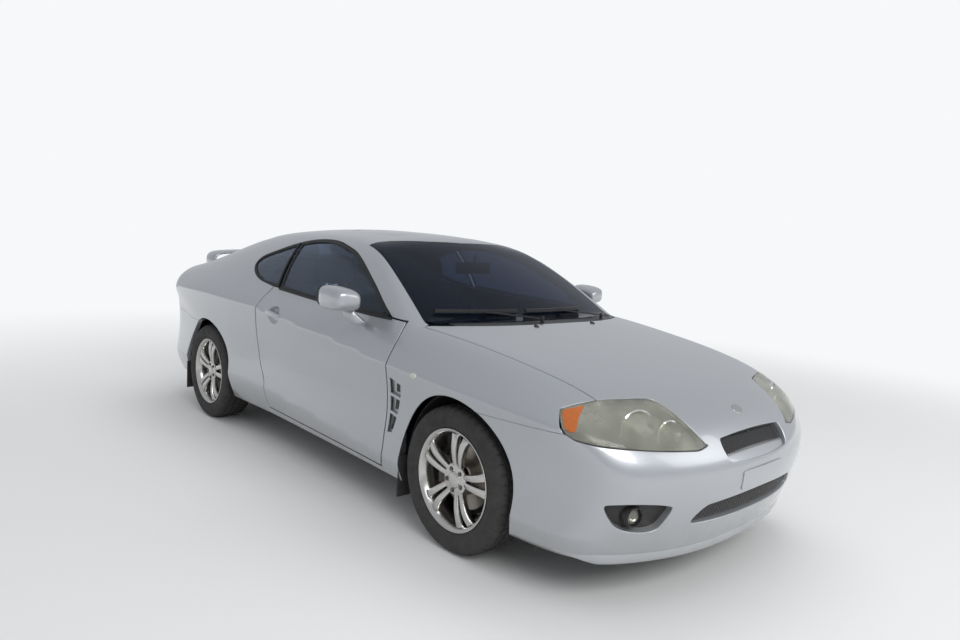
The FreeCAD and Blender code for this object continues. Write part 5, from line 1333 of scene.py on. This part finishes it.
def make_trim():
    # vents in the wings: a sunk well, two bars over it and three slits in it
    pair("vent_well", "car", "paint", (), wing_skin, wing_skin.find(grown(vent_line(), 3)), "paint", (), 14,
         depth=3, radius=1, sink=15)
    for k, z in enumerate((585, 500)):
        bar = [(vent_edge(z, True), z - 6), (vent_edge(z, False), z - 18), (vent_edge(z + 16, False), z - 2),
               (vent_edge(z + 16, True), z + 10)]
        wing_patch("vent_bar_%d" % k, bar, "paint", depth=11, radius=3, sink=1)
    wide = 13
    for k, heights in enumerate(((420, 484), (518, 568), (604, 642))):
        (xa, za), (xb, zb) = [(0.45 * vent_edge(z, True) + 0.55 * vent_edge(z, False), z) for z in heights]
        slit = [(xa - wide, za), (xa + wide, za), (xb + wide, zb), (xb - wide, zb)]
        wing_patch("vent_slit_%d" % k, slit, "black_trim", depth=2, radius=0.5, sink=13.5)
    pair("side_marker", "car", "lamp", (), wing_skin, wing_skin.find(ellipse((1010, 712), 23, 13, 32)),
         "marker", (), 8, depth=8, radius=3.5, sink=-5)
    # door handles: cup and grip
    span = np.linspace(-1, 1, 17)
    for hand, flip in HANDS:
        form = Form()
        rows = []
        for deep, k in ((5, 1.05), (2.5, 1.0), (4, 0.97), (12, 0.88), (18, 0.66), (21, 0.34), (22, 0.02)):
            q = flank.spot(flank.find((handle_line() - HANDLE) * k + HANDLE))
            rows.append(q - normal(q) * deep)
        form.grid(rows, 0, around=True)
        q = flank.spot(flank.find(stack(HANDLE[0] - 4 + 74 * span, HANDLE[1] + 4 - 6 * span)))
        path = q + normal(q) * (12 - 16 * span[:, None] ** 6)
        form.sweep(path, oval(13, 30, 16, 3.0), 0, scale=0.7 + 0.3 * np.cos(span * 1.2))
        set_in(form.made("door_handle_" + hand, "paint", flip=flip, sharp=60), "door_%s_body" % hand, "paint")
        # black seal under the side glass
        line = flowing([(-404, 955), (0, 936), (477, 921), (704, 918)], closed=False, step=20)
        q = flank.spot(flank.find(line))
        form = Form()
        form.sweep(q + normal(q), oval(7, 12, 10, 3.0))
        set_in(form.made("belt_seal_" + hand, "seal", flip=flip), "door_%s_body" % hand, "trim")
    # washer jets
    for hand, flip in HANDS:
        p = bonnet_skin.spot(np.array([[1118.0, -215.0]]))[0]
        form = Form()
        form.lathe([(-2, 13), (3, 12), (6, 7), (7, 0.1)], p, (-0.1, 0, 1), 0, 20, closed=False)
        form.block(p + (-12, -5, 2), p + (2, 5, 8))
        set_in(form.made("washer_jet_" + hand, "black_trim", flip=flip), "bonnet_body", "trim")


def wing_patch(name, corners, word, **sizes):
    """A small four-sided patch on each wing."""
    loop = wing_skin.find(flowing(corners, (0, 1, 2, 3), 8))
    pair(name, "car", "paint" if word == "paint" else "trim", (), wing_skin, loop, word, (), 12, **sizes)


def make_mirrors():
    # sections of the housing: place across, width, height, middle and squareness
    housing = ((-866, 90, 56, 520, 984, 2.4), (-872, 168, 92, 508, 988, 3.0), (-884, 204, 112, 498, 992, 3.8),
               (-930, 214, 124, 490, 997, 4.2), (-970, 206, 120, 489, 998, 4.0),
               (-990, 184, 106, 490, 998, 3.6), (-1000, 140, 78, 492, 997, 2.8),
               (-1003, 60, 34, 494, 996, 2.2))
    # sections of the stalk, from the door up into the housing
    stalk = ((528, -806, 880, 60, 26), (530, -838, 884, 92, 44), (526, -862, 896, 92, 50),
             (518, -886, 920, 84, 46), (512, -900, 950, 88, 50))
    outline = oval(150, 92, 32, 3.8) * (0.72, 1.0)
    for hand, flip in HANDS:
        form = Form()
        rows = []
        for y, wide, high, cx, cz, square in housing:
            rows.append([(cx + u, y, cz + w * (1 - 0.18 * max(u, 0) / (wide / 2)))
                         for u, w in oval(wide, high, 32, square)])
        form.grid(rows, 0, around=True, ends=True)
        rows = []
        for x, y, z, wide, deep in stalk:
            rows.append([(x + u, y + 0.55 * w, z + 0.8 * w) for u, w in oval(wide, deep, 20, 2.6)])
        form.grid(rows, 0, around=True, ends=True)
        made = form.made("mirror_shell_" + hand, "paint", flip=flip, sharp=60, levels=1)
        set_in(made, "door_%s_body" % hand, "paint", "mirror_" + hand)
        form = Form()
        for slot, rings in ((1, ((392, 0.98), (383, 1.0), (382, 0.97), (386, 0.93))),
                            (0, ((388, 0.94), (388, 0.47), (388, 0.0094)))):
            form.grid([[(x, -934 + u * k, 997 + w * k) for u, w in outline] for x, k in rings], slot,
                      around=True)
        made = form.made("mirror_glass_" + hand, "mirror", "black_trim", flip=flip)
        set_in(made, "door_%s_body" % hand, "trim")


def make_spoiler():
    """One blade across the tailgate, bent down at its ends into two legs."""
    half = [(-552, 966), (-557, 1000), (-558, 1034), (-551, 1060), (-528, 1078), (-480, 1087), (-380, 1094),
            (-250, 1100), (-120, 1104), (0, 1105)]
    line = np.array(half + [(-y, z) for y, z in half[-2::-1]], float)
    rows = []
    tangent = np.gradient(line, axis=0)
    tangent /= np.linalg.norm(tangent, axis=1, keepdims=True)
    for (y, z), (ty, tz) in zip(line, tangent):
        leg = abs(tz)
        wide = 202 - 40 * leg
        thick = 27 + 7 * leg
        loop = []
        for u, w in oval(wide, thick, 28, 2.3):
            w *= 1 + 0.35 * u / wide
            loop.append((-1953 + 12 * leg + u, y - tz * w, z + ty * w - 10 * (u / wide) ** 2))
        rows.append(loop)
    form = Form()
    form.grid(rows, 0, around=True, ends=True)
    made = form.made("rear_wing", "paint", sharp=50, levels=1)
    set_in(made, "tailgate_body", "paint", "spoiler")


def make_seats():
    """Padded seats: rounded shapes that a cloth simulation swells, and plinths under the front ones."""
    def lying(y0, steps):
        return [[(x, y0 + u, z + w) for u, w in oval(wide, high, 28, 3.4)] for x, z, wide, high in steps]

    def upright(y0, steps):
        return [[(x + w, y0 + u, z) for u, w in oval(wide, thick, 28, 3.2)] for x, z, wide, thick in steps]

    # rows of place, height, width and thickness
    shapes = {
        "seat_cushion": lying(SEAT_Y, [(-262, 388, 360, 70), (-250, 388, 430, 110), (-120, 384, 454, 120),
                                       (80, 392, 454, 122), (240, 402, 440, 108), (278, 396, 390, 70)]),
        "seat_back": upright(SEAT_Y, [(-228, 420, 400, 60), (-232, 436, 448, 104), (-262, 560, 456, 122),
                                      (-330, 760, 440, 112), (-400, 920, 390, 96), (-425, 962, 330, 70),
                                      (-430, 974, 250, 40)]),
        "head_rest": upright(SEAT_Y, [(-452, 984, 190, 40), (-456, 992, 236, 74), (-464, 1070, 246, 84),
                                      (-474, 1136, 230, 74), (-478, 1154, 180, 44)]),
        "rear_cushion": lying(0, [(-890, 330, 1010, 120), (-876, 334, 1090, 180), (-740, 346, 1130, 190),
                                  (-600, 352, 1130, 176), (-566, 346, 1060, 120)]),
        "rear_back": upright(0, [(-932, 440, 1010, 60), (-938, 458, 1110, 100), (-1010, 620, 1130, 118),
                                 (-1110, 800, 1110, 104), (-1148, 866, 1060, 80), (-1156, 884, 960, 44)]),
    }
    pads = []
    for name, rows in shapes.items():
        form = Form()
        form.grid(rows, 0, around=True, ends=True)
        obj = form.made(name + ("" if name.startswith("rear") else "_left"), "cloth")
        even = obj.modifiers.new("even", "REMESH")
        even.mode = "VOXEL"
        even.voxel_size = 0.009 if name.startswith("rear") else 0.0075
        bake(obj)
        pads.append(obj)
    swell(pads)
    # sewn grooves in the cushions and backs
    for obj in pads:
        v = points_of(obj)
        rear = obj.name.startswith("rear")
        across = np.abs(np.abs(v[:, 1]) - 0.29) if rear else np.abs(np.abs(v[:, 1] - 0.365) - 0.135)
        middle = v.mean(0)
        groove = 0.007 * np.exp(-(across / 0.008) ** 2)
        if "cushion" in obj.name:
            v[:, 2] -= np.where(v[:, 2] > middle[2] + 0.02, groove, 0)
        elif "back" in obj.name:
            v[:, 0] -= np.where(v[:, 0] > middle[0] - 0.4 * (v[:, 2] - middle[2]), groove, 0)
        obj.data.vertices.foreach_set("co", v.ravel())
        obj.data.update()
        for poly in obj.data.polygons:
            poly.use_smooth = True
    for obj in list(pads):
        if obj.name.endswith("_left"):
            twin = bpy.data.objects.new(obj.name[:-5] + "_right", obj.data.copy())
            bpy.context.collection.objects.link(twin)
            twin.data.transform(Matrix.Diagonal((1, -1, 1, 1)))
            twin.data.flip_normals()
            pads.append(twin)
    for obj in pads:
        set_in(obj, "car", "seat", "rear_seat" if obj.name.startswith("rear") else "front_seats")
    # plinths, and the rods of the head rests
    form = Form()
    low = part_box("front_seats")[0][2] / MM
    for side in (-1, 1):
        rows = []
        for z, wide, deep in ((low, 330, 400), (low + 14, 350, 430), (300, 400, 470), (334, 380, 440)):
            rows.append([(10 + u, side * SEAT_Y + w, z) for u, w in oval(deep, wide, 32, 4.0)])
        form.grid(rows, 0, around=True, ends=True)
        for off in (-60, 60):
            form.lathe([(0, 0.1), (0, 6), (70, 6), (70, 0.1)], (-440, side * SEAT_Y + off, 940),
                       (-0.2, 0, 1), 1, 14, closed=False)
    made = form.made("seat_plinths", "plastic", "disc")
    set_in(made, "car", "seat")


def swell(pads):
    """Cloth simulation with air pressure, with a limit to how far a point moves."""
    scene = bpy.context.scene
    sizes = scene.coupe_sizes
    rest = [points_of(obj) for obj in pads]
    last = 20
    for obj in pads:
        cloth = obj.modifiers.new("Cloth", "CLOTH")
        cloth.settings.use_pressure = True
        cloth.settings.uniform_pressure_force = sizes.seat_pressure
        cloth.settings.quality = 4
        cloth.settings.effector_weights.gravity = 0
        cloth.point_cache.frame_start = 1
        cloth.point_cache.frame_end = last
    for k in range(1, last + 1):
        scene.frame_set(k)
    for obj, first in zip(pads, rest):
        bake(obj)
        moved = points_of(obj) - first
        length = np.linalg.norm(moved, axis=1, keepdims=True)
        moved *= np.minimum(1, sizes.seat_swell / np.maximum(length, 1e-9))
        obj.data.vertices.foreach_set("co", (first + moved).ravel())
    scene.frame_set(1)


def bake(obj):
    """Turns an object's modifiers into its mesh."""
    depsgraph = bpy.context.evaluated_depsgraph_get()
    mesh = bpy.data.meshes.new_from_object(obj.evaluated_get(depsgraph))
    obj.modifiers.clear()
    obj.data = mesh


def points_of(obj):
    v = np.empty(len(obj.data.vertices) * 3)
    obj.data.vertices.foreach_get("co", v)
    return v.reshape(-1, 3)


def make_steering_wheel():
    tilt = math.radians(24)
    axis = np.array((-math.cos(tilt), 0, math.sin(tilt)))
    centre = np.array((330.0, SEAT_Y, 800.0))
    side = np.array((0.0, 1.0, 0.0))
    over = np.cross(axis, side)
    form = Form()
    form.lathe(oval(22, 26) + (0, 175), centre, axis, 0, 72)
    form.lathe([(-46, 0.1), (-46, 34), (-28, 52), (-6, 62), (6, 58), (13, 40), (16, 0.1)], centre, axis, 1,
               40, closed=False)
    for a in (10, 170, 250, 290):
        a = math.radians(a)
        out = side * math.cos(a) + over * math.sin(a)
        path = [centre + out * r - axis * (8 - 10 * (r - 40) / 135) for r in np.linspace(40, 172, 9)]
        form.sweep(path, oval(30, 12, 12, 3.0) if abs(out[1]) > 0.6 else oval(22, 10, 12, 3.0), 1, up=axis)
    made = form.made("steering_wheel_rim", "leather", "plastic", sharp=50)
    set_in(made, "steering_wheel_body", "trim", "steering_wheel")


def make_rest():
    plain = {"knuckle": "iron", "rear_axle": "steel", "front_susp": "steel",
             "front_frame": "steel", "floor": "floor_pan", "firewall": "floor_pan", "wheel_liners": "liner",
             "engine": "iron", "exhaust": "exhaust", "dashboard": "plastic", "console": "plastic",
             "mud_flaps": "liner", "wipers": "black_trim", "inner_mirror": "plastic"}
    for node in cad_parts:
        for word, name in plain.items():
            if node.startswith(word):
                dress(node, name)


# the photograph's camera: lengths in pixels, its place in metres, its turns in radians
PHOTO_WIDTH = 960
FOCAL = 708.854
CAMERA_AT = (3.40378, -2.73849, 1.33679)
YAW, PITCH, ROLL = 2.38760, 0.118752, 0.0632754
WHITE = (0.93, 0.94, 0.95, 1)
# name, place, aim, size and power of the lamps; only some show in the gloss
STAGE_LAMPS = (("key", (6.4, -2.0, 4.4), (0.8, 0, 0.6), 4.0, 190),
               ("top", (-0.5, 1.5, 6.0), (0.3, 0, 0.8), 5.0, 90),
               ("fill", (6.0, 3.0, 3.0), (1.0, 0, 0.6), 4.0, 60),
               ("rear", (-6.0, -2.0, 3.5), (-1.0, 0, 0.6), 4.0, 60))
SEEN_IN_GLOSS = ("key", "fill")


def make_stage():
    """The photograph's camera, a pale floor, a world that is white to the camera, and four lamps."""
    scene = bpy.context.scene
    scene.view_settings.view_transform = "Standard"
    scene.camera = photo_camera()
    ground = object_of("ground", [(-40, -40, 0), (40, -40, 0), (40, 40, 0), (-40, 40, 0)], [(0, 1, 2, 3)],
                       [stage_finish()], smooth=False)
    scene.world = white_world()
    for name, where, aim, size, watts in STAGE_LAMPS:
        data = bpy.data.lights.new(name, "AREA")
        data.shape = "RECTANGLE"
        data.size = size
        data.size_y = size * 0.6
        data.energy = watts
        lamp = bpy.data.objects.new(name, data)
        bpy.context.collection.objects.link(lamp)
        lamp.visible_glossy = name in SEEN_IN_GLOSS
        lamp.location = where
        lamp.rotation_mode = "QUATERNION"
        lamp.rotation_quaternion = (Vector(aim) - Vector(where)).to_track_quat("-Z", "Y")


def photo_camera():
    look = Vector((math.cos(PITCH) * math.cos(YAW), math.cos(PITCH) * math.sin(YAW), -math.sin(PITCH)))
    right = look.cross(Vector((0, 0, 1))).normalized()
    up = right.cross(look)
    across = right * math.cos(ROLL) + up * math.sin(ROLL)
    above = up * math.cos(ROLL) - right * math.sin(ROLL)
    rows = [(*turn, place) for turn, place in zip(zip(across, above, -look), CAMERA_AT)]
    data = bpy.data.cameras.new("camera")
    data.sensor_width = 36
    data.lens = data.sensor_width * FOCAL / PHOTO_WIDTH
    camera = bpy.data.objects.new("camera", data)
    bpy.context.collection.objects.link(camera)
    camera.matrix_world = Matrix((*rows, (0, 0, 0, 1)))
    return camera


def ray_kind(tree, *kinds):
    """A socket that is 1 for the named kinds of ray."""
    n, link = tree.nodes, tree.links.new
    path = n.new("ShaderNodeLightPath")
    last = path.outputs[kinds[0]]
    for kind in kinds[1:]:
        either = n.new("ShaderNodeMath")
        either.operation = "MAXIMUM"
        link(last, either.inputs[0])
        link(path.outputs[kind], either.inputs[1])
        last = either.outputs[0]
    return last


def white_world():
    """Soft sky light, white where the camera looks at it or through glass at it."""
    world = bpy.data.worlds.new("studio")
    world.use_nodes = True
    n, link = world.node_tree.nodes, world.node_tree.links.new
    back = n["Background"]
    back.inputs["Color"].default_value = (0.92, 0.95, 1.0, 1)
    back.inputs["Strength"].default_value = 0.56
    white = n.new("ShaderNodeBackground")
    white.inputs["Color"].default_value = WHITE
    white.inputs["Strength"].default_value = 1.0
    choose = n.new("ShaderNodeMixShader")
    link(ray_kind(world.node_tree, "Is Camera Ray", "Is Transmission Ray"), choose.inputs[0])
    link(back.outputs[0], choose.inputs[1])
    link(white.outputs[0], choose.inputs[2])
    link(choose.outputs[0], n["World Output"].inputs["Surface"])
    return world


def stage_finish():
    """Pale floor that keeps the car's shadow and fades into the white background."""
    m = bpy.data.materials.new("pale_floor")
    m.use_nodes = True
    n, link = m.node_tree.nodes, m.node_tree.links.new
    b = n["Principled BSDF"]
    b.inputs["Base Color"].default_value = (0.80, 0.80, 0.79, 1)
    b.inputs["Roughness"].default_value = 0.8
    far = n.new("ShaderNodeVectorMath")
    far.operation = "LENGTH"
    link(n.new("ShaderNodeTexCoord").outputs["Object"], far.inputs[0])
    fade = n.new("ShaderNodeMapRange")
    fade.interpolation_type = "SMOOTHSTEP"
    fade.inputs["From Min"].default_value = 2.6
    fade.inputs["From Max"].default_value = 7.5
    link(far.outputs["Value"], fade.inputs["Value"])
    glow = n.new("ShaderNodeEmission")
    glow.inputs["Color"].default_value = WHITE
    share = n.new("ShaderNodeMath")
    share.operation = "MULTIPLY"
    link(ray_kind(m.node_tree, "Is Camera Ray", "Is Glossy Ray", "Is Transmission Ray"), share.inputs[0])
    link(fade.outputs["Result"], share.inputs[1])
    both = n.new("ShaderNodeMixShader")
    link(share.outputs[0], both.inputs[0])
    link(b.outputs[0], both.inputs[1])
    link(glow.outputs[0], both.inputs[2])
    link(both.outputs[0], n["Material Output"].inputs["Surface"])
    return m


class CoupeSizes(bpy.types.PropertyGroup):
    """Sizes that can be changed before the pieces are made."""

    mesh_pitch: FloatProperty(
        name="Mesh pitch", description="Distance between the wires of the grille mesh, in millimetres",
        default=17.0, min=10.0, max=40.0)
    mesh_wire: FloatProperty(
        name="Mesh wire", description="Radius of the wires of the grille mesh",
        default=0.0016, min=0.0005, max=0.004, unit="LENGTH")
    tread_depth: FloatProperty(
        name="Tread depth", description="Depth of the cuts across the tyre tread, in millimetres",
        default=4.5, min=1.0, max=7.0)
    seat_pressure: FloatProperty(
        name="Seat pressure", description="Air pressure that swells the seat cushions",
        default=4.0, min=0.0, max=10.0)
    seat_swell: FloatProperty(
        name="Seat swell", description="Furthest that a point of a cushion may move",
        default=0.009, min=0.0, max=0.02, unit="LENGTH")


def colour(name, description, value):
    return FloatVectorProperty(name=name, description=description, default=value, size=3, min=0.0, max=1.0,
                               subtype="COLOR")


class CoupeColours(bpy.types.PropertyGroup):
    """Colours of the main finishes."""

    paint: colour("Paint", "Colour of the metallic paint", SHADES["paint"]["colour"])
    # the windscreen colour's deep blue holds painted sky reflection and painted cabin shade besides the
    # glass's tint
    glass: colour("Windscreen", "Tint of the windscreen and rear window", SHADES["glass"]["colour"])
    # the side glass colour is lighter and bluer as painted light from the far side and painted sky reflection
    side_glass: colour("Side glass", "Tint of the side windows", SHADES["side_glass"]["colour"])
    alloy: colour("Wheels", "Colour of the alloy wheels", SHADES["alloy"]["colour"])
    tyre: colour("Tyres", "Colour of the tyre rubber", SHADES["tyre"]["colour"])
    cloth: colour("Seats", "Colour of the seat cloth", SHADES["cloth"]["colour"])


class COUPE_OT_stage(bpy.types.Operator):
    """Sets up the camera, the pale floor, the background and the soft lamps"""

    bl_idname = "coupe.stage"
    bl_label = "Stage"

    def execute(self, context):
        make_stage()
        return {"FINISHED"}


class COUPE_OT_sides(bpy.types.Operator):
    """Makes the body sides, the doors and the front wings"""

    bl_idname = "coupe.sides"
    bl_label = "Sides, Doors and Wings"

    def execute(self, context):
        make_sides()
        return {"FINISHED"}


class COUPE_OT_tops(bpy.types.Operator):
    """Makes the bonnet, the roof with its sunroof, and the tailgate"""

    bl_idname = "coupe.tops"
    bl_label = "Bonnet, Roof and Tailgate"

    def execute(self, context):
        make_tops()
        return {"FINISHED"}


class COUPE_OT_bumpers(bpy.types.Operator):
    """Makes the front and rear bumper skins"""

    bl_idname = "coupe.bumpers"
    bl_label = "Bumpers"

    def execute(self, context):
        make_bumpers()
        return {"FINISHED"}


class COUPE_OT_glass(bpy.types.Operator):
    """Makes the panes with their black surrounds"""

    bl_idname = "coupe.glass"
    bl_label = "Glass"

    def execute(self, context):
        make_glass()
        return {"FINISHED"}


class COUPE_OT_lamps(bpy.types.Operator):
    """Makes the headlamps, turn lamps and tail lamps"""

    bl_idname = "coupe.lamps"
    bl_label = "Lamps"

    def execute(self, context):
        make_lamps()
        return {"FINISHED"}


class COUPE_OT_wheels(bpy.types.Operator):
    """Makes the tyres, the alloy wheels and the brake discs"""

    bl_idname = "coupe.wheels"
    bl_label = "Wheels"

    def execute(self, context):
        make_wheels()
        return {"FINISHED"}


class COUPE_OT_front(bpy.types.Operator):
    """Makes the grille meshes, the fog lamps, the scoop, the lip and the plate pad"""

    bl_idname = "coupe.front"
    bl_label = "Front Details"

    def execute(self, context):
        make_front()
        return {"FINISHED"}


class COUPE_OT_trim(bpy.types.Operator):
    """Makes the wing vents, side markers, door handles, belt seals and washer jets"""

    bl_idname = "coupe.trim"
    bl_label = "Side Trim"

    def execute(self, context):
        make_trim()
        return {"FINISHED"}


class COUPE_OT_mirrors(bpy.types.Operator):
    """Makes the door mirrors"""

    bl_idname = "coupe.mirrors"
    bl_label = "Mirrors"

    def execute(self, context):
        make_mirrors()
        return {"FINISHED"}


class COUPE_OT_spoiler(bpy.types.Operator):
    """Makes the rear wing"""

    bl_idname = "coupe.spoiler"
    bl_label = "Rear Wing"

    def execute(self, context):
        make_spoiler()
        return {"FINISHED"}


class COUPE_OT_seats(bpy.types.Operator):
    """Makes the padded seats"""

    bl_idname = "coupe.seats"
    bl_label = "Seats"

    def execute(self, context):
        make_seats()
        return {"FINISHED"}


class COUPE_OT_steering_wheel(bpy.types.Operator):
    """Makes the steering wheel"""

    bl_idname = "coupe.steering_wheel"
    bl_label = "Steering Wheel"

    def execute(self, context):
        make_steering_wheel()
        return {"FINISHED"}


class COUPE_OT_carried(bpy.types.Operator):
    """Gives the parts that stay as they are their finishes"""

    bl_idname = "coupe.carried"
    bl_label = "Finishes of the Carried Parts"

    def execute(self, context):
        make_rest()
        return {"FINISHED"}


STEPS = (COUPE_OT_stage, COUPE_OT_sides, COUPE_OT_tops, COUPE_OT_bumpers, COUPE_OT_glass, COUPE_OT_lamps,
         COUPE_OT_wheels, COUPE_OT_front, COUPE_OT_trim, COUPE_OT_mirrors, COUPE_OT_spoiler, COUPE_OT_seats,
         COUPE_OT_steering_wheel, COUPE_OT_carried)


class COUPE_PT_panel(bpy.types.Panel):
    """Lists the sizes, the colours and the steps"""

    bl_label = "Liftback Coupe"
    bl_idname = "COUPE_PT_panel"
    bl_space_type = "VIEW_3D"
    bl_region_type = "UI"
    bl_category = "Coupe"

    def draw(self, context):
        for group in (context.scene.coupe_sizes, context.scene.coupe_colours):
            for name in group.__annotations__:
                self.layout.prop(group, name)
        for step in STEPS:
            self.layout.operator(step.bl_idname)


CLASSES = (CoupeSizes, CoupeColours, *STEPS, COUPE_PT_panel)


def register():
    for cls in CLASSES:
        bpy.utils.register_class(cls)
    bpy.types.Scene.coupe_sizes = PointerProperty(type=CoupeSizes)
    bpy.types.Scene.coupe_colours = PointerProperty(type=CoupeColours)


def unregister():
    del bpy.types.Scene.coupe_colours
    del bpy.types.Scene.coupe_sizes
    for cls in reversed(CLASSES):
        bpy.utils.unregister_class(cls)


def main():
    register()
    for step in (bpy.ops.coupe.stage, bpy.ops.coupe.sides, bpy.ops.coupe.tops, bpy.ops.coupe.bumpers,
                 bpy.ops.coupe.glass, bpy.ops.coupe.lamps, bpy.ops.coupe.wheels, bpy.ops.coupe.front,
                 bpy.ops.coupe.trim, bpy.ops.coupe.mirrors, bpy.ops.coupe.spoiler, bpy.ops.coupe.seats,
                 bpy.ops.coupe.steering_wheel, bpy.ops.coupe.carried):
        step()


if __name__ == "__main__":
    main()
